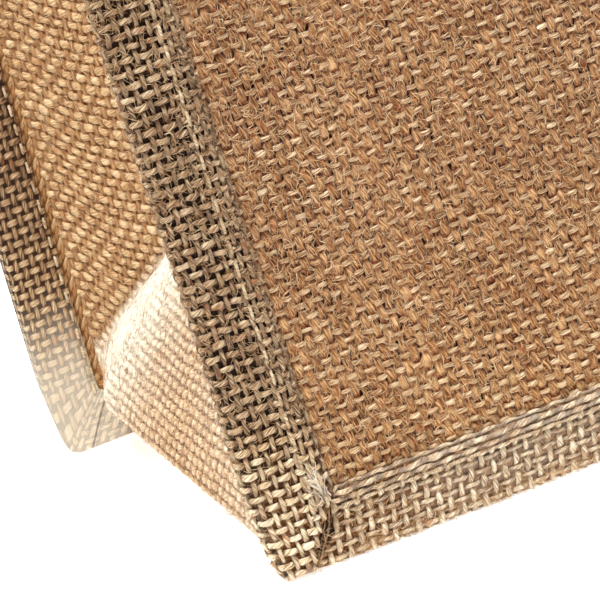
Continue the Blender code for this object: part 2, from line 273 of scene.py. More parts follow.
def gusset_line(across, along):
    """Points of the gusset's mid-surface at one distance from the front seam, at places along
    the seam, which count from the bottom's middle and are negative to the left."""
    face = -1 if across <= STRIP_HALF else 1
    from_seam = across if face < 0 else 2 * STRIP_HALF - across
    points = np.zeros((len(along), 3))
    for hand in (-1, 1):
        mine = along < 0 if hand < 0 else along >= 0
        length = np.abs(along[mine])
        lengths, outward, upward, turn, end = strip_line(from_seam, face, hand)
        low = turn * (1 - SEAM_CORNER / SEAM_X)
        placed = np.where(length < SEAM_BOTTOM, low * length / SEAM_BOTTOM,
                          low + (end - low) * (length - SEAM_BOTTOM) / (SEAM_HALF - SEAM_BOTTOM))
        x = np.interp(placed, lengths, outward)
        z = np.interp(placed, lengths, upward)
        seam_x = np.array([rounded_path(SEAM_X, FLANGE, SEAM_CORNER, *seam_station(one))[0]
                           for one in length])
        share = 1 - from_seam / STRIP_HALF
        depth = (panel_depth(hand * seam_x, z, face) - GUSSET_OFFSET) * share
        drift = CREASE_DRIFT[hand] * (1 - share) * smooth_step(z / HEIGHT)
        points[mine] = np.stack([drawn_in(hand * x, z), face * depth + drift, z], axis=-1)
    return points


class Cloth:
    """A surface sampled on an even grid of its own cloth coordinates, across and along."""

    def __init__(self, across, along, points, flip=1):
        self.across, self.along, self.points = across, along, points
        normals = np.cross(np.gradient(points, axis=0), np.gradient(points, axis=1)) * flip
        self.normals = normals / np.maximum(np.linalg.norm(normals, axis=-1, keepdims=True), 1e-12)

    def at(self, across, along):
        """Points and outward normals at cloth coordinates."""
        i, j = ((np.clip(place, axis[0], axis[-1]) - axis[0]) / (axis[1] - axis[0])
                for place, axis in ((across, self.across), (along, self.along)))
        low_i = np.minimum(i.astype(int), len(self.across) - 2)
        low_j = np.minimum(j.astype(int), len(self.along) - 2)
        u, v = (i - low_i)[..., None], (j - low_j)[..., None]
        found = []
        for grid in (self.points, self.normals):
            found.append((grid[low_i, low_j] * (1 - u) + grid[low_i + 1, low_j] * u) * (1 - v)
                         + (grid[low_i, low_j + 1] * (1 - u) + grid[low_i + 1, low_j + 1] * u) * v)
        return found[0], found[1] / np.linalg.norm(found[1], axis=-1, keepdims=True)


def even(low, high, step):
    return np.linspace(low, high, round((high - low) / step) + 1)


def panel_cloth(face):
    across, along = even(-WIDTH / 2, WIDTH / 2, FINE), even(0.0, HEIGHT, FINE)
    x, z = np.meshgrid(across, along, indexing="ij")
    return Cloth(across, along, on_flange(x, z, face, 0.0), -face)


def gusset_cloth():
    across, along = even(0.0, 2 * STRIP_HALF, 0.00125), even(-SEAM_HALF, SEAM_HALF, FINE)
    return Cloth(across, along, np.array([gusset_line(one, along) for one in across]))


# The tape across its width, inner edge to hidden edge: reach outside the seam and height above
# the panel's mid-surface, which is below 0 behind it
TAPE_PROFILE = np.array([
    (0.0012, 0.0012), (0.0002, 0.0014), (-0.0002, 0.0020), (0.0003, 0.0025), (0.0010, 0.00265),
    (0.0030, 0.0026), (0.0040, 0.0022), (0.0052, 0.0017), (0.0100, 0.00155), (0.0158, 0.0016),
    (0.0166, 0.0013), (0.0170, 0.0006), (0.0171, -0.0004), (0.0171, -0.0022), (0.0167, -0.0030),
    (0.0158, -0.00325), (0.0100, -0.00325),
])
TAPE_LENGTHS = run_along(*TAPE_PROFILE.T)


def tape_cloth(side):
    """The tape near the front left foot: its upright length, or the length along the floor.
    Along is z for the first and x for the second."""
    across = even(0.0, TAPE_LENGTHS[-1], 0.0003)
    reach, height = (np.interp(across, TAPE_LENGTHS, part)[:, None] for part in TAPE_PROFILE.T)
    kernel = np.ones(3) / 3
    for line in (reach, height):
        line[1:-1, 0] = np.convolve(line[:, 0], kernel, mode="valid")
    if side:
        along = even(0.0, WIDTH / 2, FINE)
        rounding = np.maximum(TAPE_FOOT_ROUND - along[None, :], 0.0)
        foot = TAPE_REACH - TAPE_FOOT_ROUND + np.sqrt(TAPE_FOOT_ROUND ** 2 - rounding ** 2)
        points = on_flange(-SEAM_X - np.minimum(reach, foot), along[None, :], -1, -height)
        return Cloth(across, along, points, -1)
    along = even(-WIDTH / 2, 0.0, FINE)
    points = on_flange(along[None, :], FLANGE - reach, -1, -height)
    return Cloth(across, along, points)


# ---------------------------------------------------------------- the part that is seen close up

def seen_close(cloth, margin):
    """True at the grid points of a cloth that face the camera inside its frame."""
    to_point = cloth.points - CAMERA_PLACE
    depth = -(to_point @ CAMERA_BACK)
    right, up = (to_point @ axis / depth * CAMERA_LENS / SENSOR * 2
                 for axis in (CAMERA_RIGHT, CAMERA_UP))
    facing = -(cloth.normals * to_point).sum(-1) > -0.05
    return facing & (np.abs(right) < 1 + margin) & (np.abs(up) < 1 + margin)


def past_flange(cloth):
    """True at the grid points of the gusset that the front flange doesn't hide."""
    share = (cloth.points[..., 1] + SEAM_DEPTH / 2) / (cloth.points[..., 1] - CAMERA_PLACE[1])
    crossing = cloth.points[..., 0] + (CAMERA_PLACE[0] - cloth.points[..., 0]) * share
    return crossing < 0.004 - WIDTH / 2


class Worked:
    """Where a cloth's yarns are modelled: for each place across, the stretch along."""

    def __init__(self, cloth, margin, keep, pad=0.0):
        seen = seen_close(cloth, margin) & keep
        self.across = cloth.across
        used = seen.any(axis=1)
        self.start, self.end = self.across[used][0], self.across[used][-1]
        first, last = seen.argmax(axis=1), seen.shape[1] - 1 - seen[:, ::-1].argmax(axis=1)
        self.low = np.interp(self.across, self.across[used], cloth.along[first][used]) - pad
        self.high = np.interp(self.across, self.across[used], cloth.along[last][used]) + pad

    def along(self, across):
        return np.interp(across, self.across, self.low), np.interp(across, self.across, self.high)

    def across_at(self, along):
        inside = ((self.low <= along) & (along <= self.high)
                  & (self.across >= self.start) & (self.across <= self.end))
        found = self.across[inside]
        return (found[0], found[-1]) if len(found) > 1 else None

    def depth(self, across, along):
        """How far inside the worked stretch a place lies; below 0 outside it."""
        low, high = self.along(across)
        return np.minimum.reduce([along - low, high - along,
                                  across - self.start, self.end - across])


# ---------------------------------------------------------------- pieces and meshes

FLOOR_CLEARANCE = 0.0002


def mesh_of(name, shape):
    """The mesh of a finished bmesh."""
    mesh = bpy.data.meshes.new(name)
    shape.to_mesh(mesh)
    shape.free()
    return mesh


def new_object(name, mesh, *materials):
    for material in materials:
        mesh.materials.append(material)
    made = bpy.data.objects.new(name, mesh)
    bpy.context.scene.collection.objects.link(made)
    return made


def on_sack(piece):
    """The piece, which rides on the sack."""
    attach(piece, "root")
    return piece


class Tubes:
    """Many tapered tubes in one mesh. Each has a map of its length in millimetres and its turn,
    a tone, and a crown value that is 1 where it rises and 0 where it dives."""

    def __init__(self, sides):
        angles = 2 * math.pi * np.arange(sides) / sides - math.pi / 2
        self.cos, self.sin = np.cos(angles), np.sin(angles)
        self.sides = sides
        self.points, self.quads, self.caps = [], [], []
        self.maps, self.cap_maps = [], []
        self.values = {"tone": [], "crown": [], "faded": []}
        self.count = 0

    def add(self, lines, normals, wide, high, tone=0.5, crown=1.0, rough=0.0, faded=0.0):
        """Tubes along one line or many of equal length, with half their width and height at each
        point. rough makes their outlines uneven, and the last value is their share of painted
        light:
        floor bounce on the tape, highlight along the gusset's crest."""
        lines, normals = (np.reshape(part, (-1,) + part.shape[-2:]) for part in (lines, normals))
        tubes, rings, sides = *lines.shape[:2], self.sides
        tangent = np.gradient(lines, axis=1)
        tangent /= np.maximum(np.linalg.norm(tangent, axis=-1, keepdims=True), 1e-12)
        side = np.cross(normals, tangent)
        side /= np.maximum(np.linalg.norm(side, axis=-1, keepdims=True), 1e-12)
        up = np.cross(tangent, side)
        wide, high, *values = (np.broadcast_to(np.asarray(value, float), (tubes, rings))
                               for value in (wide, high, tone, crown, faded))
        swell = np.ones((tubes, rings, sides))
        if rough:
            field = random.normal(0.0, rough, swell.shape)
            field[:, 1:-1] = (field[:, :-2] + 2 * field[:, 1:-1] + field[:, 2:]) / 2.5
            swell += np.clip(field, -0.4, 0.4)
        ring = (lines[:, :, None]
                + (wide[..., None] * self.cos * swell)[..., None] * side[:, :, None]
                + (high[..., None] * self.sin * swell)[..., None] * up[:, :, None])
        ring[..., 2] = np.maximum(ring[..., 2], FLOOR_CLEARANCE)
        self.points.append(ring.reshape(-1, 3))
        first = self.count + sides * np.arange(tubes * rings).reshape(tubes, rings, 1)
        here, after = np.arange(sides), (np.arange(sides) + 1) % sides
        low, high_ring = first[:, :-1], first[:, 1:]
        self.quads.append(np.stack([low + here, low + after, high_ring + after, high_ring + here],
                                   axis=-1).reshape(-1, 4))
        steps = np.linalg.norm(np.diff(lines, axis=1), axis=-1) * 1000
        lengths = np.concatenate([np.zeros((tubes, 1)), np.cumsum(steps, axis=1)], axis=1)
        lengths += random.uniform(0, 400, (tubes, 1))
        turn = np.arange(sides + 1) / sides
        begin, end = (part[..., None] + 0 * here for part in (lengths[:, :-1], lengths[:, 1:]))
        near, far = turn[:-1] + 0 * begin, turn[1:] + 0 * begin
        corners = np.stack([begin, near, begin, far, end, far, end, near], axis=-1)
        self.maps.append(corners.reshape(-1, 2))
        caps = np.stack([first[:, 0] + here[::-1], first[:, -1] + here], axis=1)
        self.caps.append(caps.reshape(-1, sides))
        ends = np.stack([lengths[:, 0], lengths[:, -1]], axis=1)[..., None] + 0 * here
        turns = np.broadcast_to(np.stack([turn[:-1][::-1], turn[:-1]]), ends.shape)
        self.cap_maps.append(np.stack([ends, turns], axis=-1).reshape(-1, 2))
        for made, value in zip(self.values.values(), values):
            made.append(np.repeat(value.ravel(), sides))
        self.count += tubes * rings * sides

    def piece(self, name, material, slot):
        """The finished piece, which rides on the sack."""
        points, quads, caps = map(np.concatenate, (self.points, self.quads, self.caps))
        mesh = bpy.data.meshes.new(name)
        mesh.vertices.add(len(points))
        mesh.vertices.foreach_set("co", points.astype(np.float32).ravel())
        corners = np.concatenate([quads.ravel(), caps.ravel()])
        mesh.loops.add(len(corners))
        mesh.loops.foreach_set("vertex_index", corners.astype(np.int32))
        sizes = np.concatenate([np.full(len(quads), 4), np.full(len(caps), self.sides)])
        starts = np.concatenate([[0], np.cumsum(sizes)[:-1]])
        mesh.polygons.add(len(sizes))
        mesh.polygons.foreach_set("loop_start", starts.astype(np.int32))
        mesh.update(calc_edges=True)
        maps = np.concatenate(self.maps + self.cap_maps).astype(np.float32)
        mesh.uv_layers.new(name="fibre").data.foreach_set("uv", maps.ravel())
        for label, values in self.values.items():
            attribute = mesh.attributes.new(label, "FLOAT", "POINT")
            attribute.data.foreach_set("value", np.concatenate(values).astype(np.float32))
        mesh.shade_smooth()
        mesh.validate()
        return on_sack(new_object(name, mesh, material))


def wander(places, wavelength):
    """A smooth random wave along places, of size about 1."""
    total = np.zeros_like(places)
    for octave in range(3):
        wave = places * 2 * math.pi / wavelength * 1.7 ** octave + random.uniform(0, 7)
        total += np.sin(wave) / 1.5 ** octave
    return total / 1.6


# Slow waves of tone over a cloth: length, heading and shift
MOTTLE = [(size, *random.uniform(0, 2 * math.pi, 2))
          for size in (0.012, 0.017, 0.023, 0.031, 0.042)]
# Places where the front panel is a little darker: x, z and how far they reach. The two beside
# the seam are painted shade from the flange, and the first is a darker patch of the cloth.
DARKER = ((-0.135, 0.047, 0.016), (-0.169, 0.028, 0.009), (-0.176, 0.098, 0.013))


def mottle(across, along):
    """A slow, patchy variation over a cloth, of size about 1."""
    waves = [np.sin(2 * math.pi / size * (across * math.cos(angle) + along * math.sin(angle))
                    + shift) for size, angle, shift in MOTTLE]
    return sum(waves) / 1.8


def darker(across, along):
    """1 at the middle of each darker place of the front panel, 0 away from them."""
    return sum(np.exp(-((across - x) ** 2 + (along - z) ** 2) / reach ** 2)
               for x, z, reach in DARKER)


# ---------------------------------------------------------------- woven yarns

# Yarns: half their width and height, how far they wave over and under, how far they stray
# sideways, how uneven their crossings are, and how rough their outline is
WARP, WEFT, SIDE_WARP, SIDE_WEFT, TAPE_END, TAPE_PICK, TAPE_BAND = (
    dict(zip(("wide", "high", "wave", "stray", "uneven", "rough"), form)) for form in (
        (0.00116, 0.00040, 0.00018, 0.00018, 0.50, 0.15),
        (0.00058, 0.00042, 0.00046, 0.00020, 0.45, 0.15),
        (0.00074, 0.00034, 0.00008, 0.00014, 0.40, 0.12),
        (0.00102, 0.00048, 0.00028, 0.00014, 0.40, 0.12),
        (0.00050, 0.00044, 0.00036, 0.00014, 0.25, 0.13),
        (0.00068, 0.00050, 0.00038, 0.00018, 0.25, 0.13),
        (0.00056, 0.00046, 0.00018, 0.00018, 0.25, 0.13)))
WEFT["foot"] = 0.00018     # how much prouder the panel's wefts stand near the floor
FOOT_HEIGHT = 0.075        # and from which height down
CLOTH_LIFT = 0.00025       # of a cloth's yarns above its mid-surface
DIVE = 0.006               # length over which a yarn sinks into the sheet at its end
SUNK = 0.0011              # how far it sinks
STEPS = 5                  # rings from one crossing to the next


def lay_yarn(tubes, cloth, form, lengthwise, place, low, high, pitch, index, lift, steps=STEPS,
             sink=(True, True), dive=DIVE, over=None, slant=0.0, crossings=None, faded=None):
    """One yarn of a plain weave. pitch is that of the yarns it crosses, whose first lies half a
    pitch from 0 if crossings doesn't place them, and index says which of them it passes over.
    Crosswise yarns run at a slant. sink says which of its ends sink into the sheet, over is an
    added height, and the last argument gives its share of painted light."""
    count = max(4, round((high - low) / pitch * steps)) + 1
    run = np.linspace(low, high, count)
    aside = place + form["stray"] * wander(run, 0.021) + (0.0 if lengthwise else slant * run)
    across, along = (aside, run) if lengthwise else (run, aside)
    if crossings is None:
        phase = (run - (slant * place if lengthwise else 0.0)) / pitch
    else:
        phase = np.interp(run, crossings, np.arange(len(crossings)) + 0.5)
    cell = np.floor(phase)
    above = (cell + index) % 2 == (0 if lengthwise else 1)
    order = (cell - cell.min()).astype(int)
    uneven = 1 + form["uneven"] * random.uniform(-1, 1, order.max() + 1)[order]
    wave = np.cos(math.pi * (phase - cell - 0.5)) * np.where(above, 1, -1)
    shaped = np.tanh(1.5 * wave) / math.tanh(1.5)
    depth = np.zeros(count)
    for sinks, from_end in zip(sink, (run - low, high - run)):
        if sinks:
            depth += 1 - smooth_step(from_end / dive)
    points, normals = cloth.at(across, along)
    foot = smooth_step(1 - points[:, 2] / FOOT_HEIGHT) if "foot" in form else 0.0
    wave = form["wave"] * shaped * np.where(above, uneven, 1.0)
    height = lift + form.get("foot", 0.0) * foot + wave - SUNK * depth
    if over is not None:
        height = height + over(across, along)
    size = 1 + random.uniform(-0.12, 0.12) + 0.10 * wander(run, 0.013) + 0.06 * wander(run, 0.0045)
    size = size * (1 + 0.07 * shaped)
    tone = (random.normal(0.5, 0.14) + 0.12 * wander(run, 0.03)
            + random.normal(0.0, 0.17, order.max() + 1)[order])
    # The panel's wefts are paler near the floor: painted floor bounce.
    tone = tone + 0.13 * mottle(across, along) + 0.3 * foot
    # Painted shade beside the seam, and a darker patch of the cloth.
    if cloth is front:
        tone = tone - 0.28 * darker(across, along)
    tubes.add(points + normals * height[:, None], normals, form["wide"] * size,
              form["high"] * (1 + 0.08 * wander(run, 0.009)), np.clip(tone, 0, 1),
              0.5 + 0.5 * shaped, form["rough"], 0.0 if faded is None else faded(across, points))


def weave_cloth(cloth, worked, name, forms, finishes, slot, hidden, sides, ragged=0.0, **course):
    """The warps and wefts of a burlap cloth over its worked stretch. hidden holds the (low, high)
    limits, along for the warps and across for the wefts, where their ends are under a tape.
    ragged is how unevenly they end."""
    made = []
    kinds = zip((True, False), ("_warps", "_wefts"), (WARP_PITCH, WEFT_PITCH),
                (WEFT_PITCH, WARP_PITCH), forms, finishes, hidden, sides)
    for lengthwise, label, pitch, crossed, form, finish, edges, around in kinds:
        tubes = Tubes(around)
        if lengthwise:
            first, last = worked.start, worked.end
        else:
            first, last = worked.low.min(), worked.high.max()
        for index in range(math.ceil(first / pitch), math.floor(last / pitch)):
            place = (index + 0.5) * pitch
            reach = worked.along(place) if lengthwise else worked.across_at(place)
            if reach is None or reach[1] - reach[0] < 2 * crossed:
                continue
            free = [abs(end - edge) > DIVE for end, edge in zip(reach, edges)]
            lay_yarn(tubes, cloth, form, lengthwise, place, reach[0],
                     reach[1] + ragged * random.uniform(), crossed, index, CLOTH_LIFT,
                     sink=free, **course)
        made.append(tubes.piece(name + label, finish, slot))
    return made


# ---------------------------------------------------------------- loose fibres and stitches

def lying_fibres(tubes, cloth, across, along, heading, length, low, rise, thick, curl, rings=6):
    """Fibres that have worked loose, each in a low arch over a cloth."""
    count = len(across)
    share = np.linspace(0, 1, rings)
    sway = 0.35 * np.sin(2 * math.pi * share * random.uniform(0.5, 1.5, (count, 1))
                         + random.uniform(0, 7, (count, 1)))
    angle = heading[:, None] + curl[:, None] * (share - 0.5) + sway
    step = (length / (rings - 1))[:, None]
    middle = slice(rings // 2, rings // 2 + 1)
    places = []
    for start, turned in ((across, np.cos), (along, np.sin)):
        run = np.cumsum(turned(angle) * step, axis=1)
        places.append(start[:, None] + run - run[:, middle])
    points, normals = cloth.at(*places)
    height = low[:, None] + rise[:, None] * np.sin(math.pi * share) ** 0.7
    taper = thick[:, None] * (0.45 + 0.55 * np.sin(math.pi * share) ** 0.5)
    tubes.add(points + normals * height[..., None], normals, taper, taper,
              random.uniform(0, 1, (count, 1)))


def standing_fibres(tubes, start, out, length, thick, spread=0.6, curl=0.5, rings=6):
    """Fibres that stand out of a surface or an edge, each bending its own way."""
    count = len(start)
    heading = out + random.normal(0, spread, (count, 3))
    heading /= np.linalg.norm(heading, axis=1, keepdims=True)
    bend = np.cross(heading, random.normal(0, 1, (count, 3)))
    share = np.linspace(0, 1, rings)[None, :, None]
    reach = length[:, None, None]
    lines = start[:, None] + reach * (heading[:, None] * share + curl * bend[:, None] * share ** 2)
    taper = thick[:, None] * (1 - 0.6 * share[..., 0])
    tubes.add(lines, np.broadcast_to(bend[:, None], lines.shape), taper, taper,
              random.uniform(0, 1, (count, 1)))


# ---------------------------------------------------------------- materials

class Graph:
    """Adds nodes to a tree, with values or sockets as their inputs."""

    def __init__(self, tree):
        self.tree = tree

    def node(self, kind, inputs=(), **settings):
        made = self.tree.nodes.new(kind)
        for key, value in settings.items():
            setattr(made, key, value)
        for key, value in (inputs.items() if isinstance(inputs, dict) else enumerate(inputs)):
            if isinstance(value, bpy.types.NodeSocket):
                self.tree.links.new(value, made.inputs[key])
            else:
                made.inputs[key].default_value = value
        return made

    def math(self, operation, *inputs):
        return self.node("ShaderNodeMath", inputs, operation=operation).outputs[0]

    def vector(self, *parts):
        return self.node("ShaderNodeCombineXYZ", parts).outputs[0]

    def noise(self, vector, scale, detail=2.0):
        made = self.node("ShaderNodeTexNoise", {"Vector": vector, "Scale": scale, "Detail": detail})
        return made.outputs["Fac"]

    def span(self, value, low, high, new_low=0.0, new_high=1.0):
        ranges = zip(("Value", "From Min", "From Max", "To Min", "To Max"),
                     (value, low, high, new_low, new_high))
        return self.node("ShaderNodeMapRange", dict(ranges)).outputs[0]

    def blend(self, share, first, second, how="MIX"):
        made = self.node("ShaderNodeMix", {0: share, 6: first, 7: second}, data_type="RGBA",
                         blend_type=how)
        return made.outputs[2]


def node_group(name, inputs, outputs):
    """A group of nodes. Its inputs are floats, or else "Color" or "Vector", and its outputs are
    floats but for the colour."""
    tree = bpy.data.node_groups.new(name, "ShaderNodeTree")
    for label, value in inputs.items():
        kind = value if isinstance(value, str) else "Float"
        socket = tree.interface.new_socket(label, in_out="INPUT", socket_type="NodeSocket" + kind)
        if kind == "Float":
            socket.default_value = value
    for label in outputs:
        kind = "Color" if label == "Colour" else "Float"
        tree.interface.new_socket(label, in_out="OUTPUT", socket_type="NodeSocket" + kind)
    given, out = tree.nodes.new("NodeGroupInput").outputs, tree.nodes.new("NodeGroupOutput").inputs
    return tree, given, out


def make_fibre_group():
    """Jute fibres along a yarn: streaks, patches, odd brown lengths, and painted shade where the
    yarn dives. The streaks follow the bump, so their dark grooves are partly painted shade and
    their pale crests partly painted highlight."""
    tree, given, out = node_group(
        "jute_fibres",
        {"Length": 0.0, "Turn": 0.0, "Tone": 0.5, "Crown": 1.0, "Dark": "Color", "Middle": "Color",
         "Pale": "Color", "Odd": "Color", "Dive": "Color", "Twist": 0.4, "Girth": 4.0},
        ("Colour", "Height"))
    graph = Graph(tree)
    spot = graph.math("MULTIPLY", given["Tone"], 3.0)
    around = graph.math("MULTIPLY_ADD", given["Turn"], given["Girth"],
                        graph.math("MULTIPLY", given["Length"], given["Twist"]))

    def fibres(along, across, shift, detail):
        place = graph.vector(graph.math("MULTIPLY", given["Length"], along),
                             graph.math("MULTIPLY", around, across), graph.math("ADD", spot, shift))
        return graph.noise(place, 1.0, detail)

    streak = graph.span(fibres(0.36, 4.2, 0.0, 2.0), 0.32, 0.68)
    patch = graph.span(fibres(0.17, 0.5, 4.0, 1.0), 0.3, 0.7)
    body = graph.math("MULTIPLY_ADD", patch, 0.06, graph.math("MULTIPLY", given["Tone"], 0.24))
    value = graph.math("MULTIPLY_ADD", streak, 0.74, body)
    colour = graph.blend(graph.span(value, 0.14, 0.50), given["Dark"], given["Middle"])
    colour = graph.blend(graph.span(value, 0.50, 0.84), colour, given["Pale"])
    odd = graph.span(fibres(0.2, 0.45, 9.0, 1.0), 0.64, 0.74, 0.0, 0.8)
    colour = graph.blend(odd, colour, given["Odd"])
    # Painted shade where the yarn dives under its neighbours.
    risen = graph.span(given["Crown"], 0.0, 0.75)
    shaded = graph.blend(1.0, colour, given["Dive"], how="MULTIPLY")
    tree.links.new(graph.blend(risen, shaded, colour), out["Colour"])
    tree.links.new(streak, out["Height"])
    return tree


def make_floor_bounce_group():
    """Painted floor bounce: paler colour near the floor, in an uneven line, most of all on the
    yarns' crests.
    """
    tree, given, out = node_group(
        "painted_floor_bounce", {"Colour": "Color", "Place": "Vector", "Pale": "Color", "Reach": 0.03,
                       "Most": 0.5, "Crown": 1.0}, ("Colour",))
    graph = Graph(tree)
    height = graph.node("ShaderNodeSeparateXYZ", [given["Place"]]).outputs["Z"]
    uneven = graph.math("MULTIPLY_ADD", graph.noise(given["Place"], 160.0), 0.016, -0.008)
    share = graph.span(graph.math("ADD", height, uneven), given["Reach"], 0.0, 0.0, 1.0)
    crest = graph.math("MULTIPLY_ADD", given["Crown"], 0.55, 0.45)
    light = graph.node("ShaderNodeRGBToBW", [given["Colour"]]).outputs[0]
    taken = graph.math("MULTIPLY", crest, graph.span(light, 0.03, 0.22, 0.45, 1.0))
    share = graph.math("MULTIPLY", graph.math("MULTIPLY", share, taken), given["Most"])
    lightened = given["Colour"]
    for how, other in (("SCREEN", "Colour"), ("SCREEN", "Colour"), ("MULTIPLY", "Pale")):
        lightened = graph.blend(1.0, lightened, given[other], how=how)
    tree.links.new(graph.blend(share, given["Colour"], lightened), out["Colour"])
    return tree


def make_painted_light_group():
    """Painted light: one pale colour, with another between the fibres. It is the floor's bounce on
    the tapes and the highlight along the gusset's crest.
    """
    tree, given, out = node_group(
        "painted_light_group", {"Colour": "Color", "Share": 0.0, "Fibre": 1.0, "Groove": "Color",
                      "Pale": "Color"}, ("Colour",))
    graph = Graph(tree)
    share = graph.math("MULTIPLY", given["Share"], 0.95)
    lightened = graph.blend(graph.span(given["Fibre"], 0.10, 0.65), given["Groove"], given["Pale"])
    tree.links.new(graph.blend(share, given["Colour"], lightened), out["Colour"])
    return tree


def make_weave_group():
    """A plain weave laid out by cloth coordinates in millimetres."""
    tree, given, out = node_group(
        "plain_weave", {"Across": 0.0, "Along": 0.0, "Warp pitch": 2.26, "Weft pitch": 2.8,
                        "Warp width": 0.45, "Weft width": 0.23},
        ("Weft", "Height", "Cover", "Length", "Turn", "Tone", "Crown"))
    graph = Graph(tree)
    sway = graph.noise(graph.vector(given["Across"], given["Along"], 0.0), 0.05, 2.0)
    sway = graph.math("MULTIPLY_ADD", sway, 1.0, -0.5)
    cells, offs = [], []
    for way, pitch in (("Across", "Warp pitch"), ("Along", "Weft pitch")):
        place = graph.math("DIVIDE", graph.math("ADD", given[way], sway), given[pitch])
        cells.append(graph.math("FLOOR", place))
        offs.append(graph.math("SUBTRACT", graph.math("FRACT", place), 0.5))
    warp, weft = cells
    parity = graph.math("MODULO", graph.math("ADD", graph.math("ADD", warp, weft), 4000.0), 2.0)
    sign = graph.math("MULTIPLY_ADD", parity, -2.0, 1.0)
    heights, sides, waves = [], [], []
    for facing, off, travel, width, wave_size in (
            (sign, *offs, given["Warp width"], 0.30),
            (graph.math("MULTIPLY", sign, -1.0), *offs[::-1], given["Weft width"], 0.42)):
        course = graph.math("COSINE", graph.math("MULTIPLY", travel, math.pi))
        wave = graph.math("MULTIPLY", course, facing)
        share = graph.math("DIVIDE", off, width)
        profile = graph.math("SUBTRACT", 1.0, graph.math("MULTIPLY", share, share))
        body = graph.math("MULTIPLY", graph.math("SQRT", graph.math("MAXIMUM", profile, 0.0)), 0.42)
        outside = graph.math("MULTIPLY", graph.math("LESS_THAN", profile, 0.0), -3.0)
        height = graph.math("MULTIPLY_ADD", wave, wave_size, graph.math("ADD", body, outside))
        heights.append(height)
        sides.append(share)
        waves.append(wave)
    on_top = graph.math("GREATER_THAN", heights[1], heights[0])
    top = graph.math("MAXIMUM", heights[0], heights[1])

    def choose(first, second):
        return graph.node("ShaderNodeMix", {0: on_top, 2: first, 3: second}).outputs[0]

    tree.links.new(on_top, out["Weft"])
    tree.links.new(graph.math("MAXIMUM", top, -0.8), out["Height"])
    tree.links.new(graph.math("GREATER_THAN", top, -1.0), out["Cover"])
    tree.links.new(choose(given["Along"], given["Across"]), out["Length"])
    tree.links.new(graph.math("MULTIPLY", choose(sides[0], sides[1]), 0.25), out["Turn"])
    seed = choose(warp, graph.math("ADD", weft, 71.3))
    patch = graph.noise(graph.vector(given["Across"], given["Along"], 3.0), 0.045, 2.0)
    white = graph.node("ShaderNodeTexWhiteNoise", {"W": seed}, noise_dimensions="1D")
    tone = graph.math("MULTIPLY_ADD", white.outputs["Value"], 0.40, -0.10)
    tree.links.new(graph.math("MULTIPLY_ADD", patch, 0.80, tone), out["Tone"])
    tree.links.new(graph.math("MULTIPLY_ADD", choose(waves[0], waves[1]), 0.5, 0.5), out["Crown"])
    return tree


FIBRES = make_fibre_group()
FLOOR_BOUNCE = make_floor_bounce_group()
PAINTED_LIGHT = make_painted_light_group()
WEAVE = make_weave_group()


def linear(*display):
    """A linear colour from display values of 0 to 255."""
    return tuple(((v / 255 + 0.055) / 1.055) ** 2.4 if v > 10 else v / 255 / 12.92
                 for v in display) + (1.0,)


def jute(twist, girth, *colours):
    """Values for a yarn's fibres: how they twist, how fine they are, and their colours, which are
    in the grooves, partly painted shade, on the body, on the crest, partly painted highlight, in
    odd lengths, and the painted shade where a yarn dives."""
    named = zip(("Dark", "Middle", "Pale", "Odd", "Dive"), colours)
    return {**{name: linear(*colour) for name, colour in named}, "Twist": twist, "Girth": girth}


# The wefts and the tape's picks are paler than the warps and ends of the same jute: lit and shaded
# copies, a painted highlight on the crosswise yarns.
BURLAP_WARP = jute(0.30, 6.0, (72, 35, 14), (168, 115, 70), (226, 183, 134), (134, 66, 28),
                   (184, 116, 72))
BURLAP_WEFT = jute(0.35, 4.6, (100, 58, 30), (197, 154, 109), (250, 229, 194), (152, 92, 48),
                   (160, 112, 78))
TAPE_ENDS = jute(0.55, 3.4, (58, 38, 24), (147, 113, 80), (206, 182, 146), (144, 86, 50),
                 (150, 114, 86))
TAPE_PICKS = jute(0.55, 4.0, (72, 48, 30), (168, 133, 96), (230, 210, 176), (168, 104, 60),
                  (150, 114, 86))
GUSSET_WARP = jute(0.30, 4.6, (116, 74, 37), (179, 130, 80), (212, 170, 118), (154, 96, 50),
                   (204, 156, 110))
GUSSET_WEFT = jute(0.35, 3.4, (164, 121, 76), (210, 174, 127), (230, 203, 162), (188, 136, 86),
                   (186, 140, 94))
LOOSE = jute(0.0, 0.4, (126, 74, 38), (200, 150, 98), (244, 222, 182), (146, 80, 36),
             (255, 255, 255))
TUFT = jute(0.9, 1.6, (206, 182, 146), (246, 234, 210), (254, 249, 238), (180, 150, 118),
            (190, 170, 150))
STITCH = jute(1.4, 2.4, (120, 94, 66), (196, 168, 130), (238, 220, 190), (170, 124, 84),
              (170, 140, 110))
# The painted light's pale colour, and the colours between its fibres on the gusset's yarns and the
# tape's.
LIT_PALE = linear(252, 246, 229)
GROOVE = linear(242, 228, 200)
TAPE_GROOVE = linear(190, 157, 122)


def principled(name, roughness=0.85, specular=0.2, sheen=0.16):
    made = bpy.data.materials.new(name)
    made.use_nodes = True
    shader = made.node_tree.nodes["Principled BSDF"]
    shader.inputs["Roughness"].default_value = roughness
    shader.inputs["Specular IOR Level"].default_value = specular
    shader.inputs["Sheen Weight"].default_value = sheen
    shader.inputs["Sheen Roughness"].default_value = 0.45
    return made, shader, Graph(made.node_tree)


def use_group(graph, tree, inputs):
    group = graph.tree.nodes.new("ShaderNodeGroup")
    group.node_tree = tree
    for key, value in inputs.items():
        if isinstance(value, bpy.types.NodeSocket):
            graph.tree.links.new(value, group.inputs[key])
        else:
            group.inputs[key].default_value = value
    return group.outputs


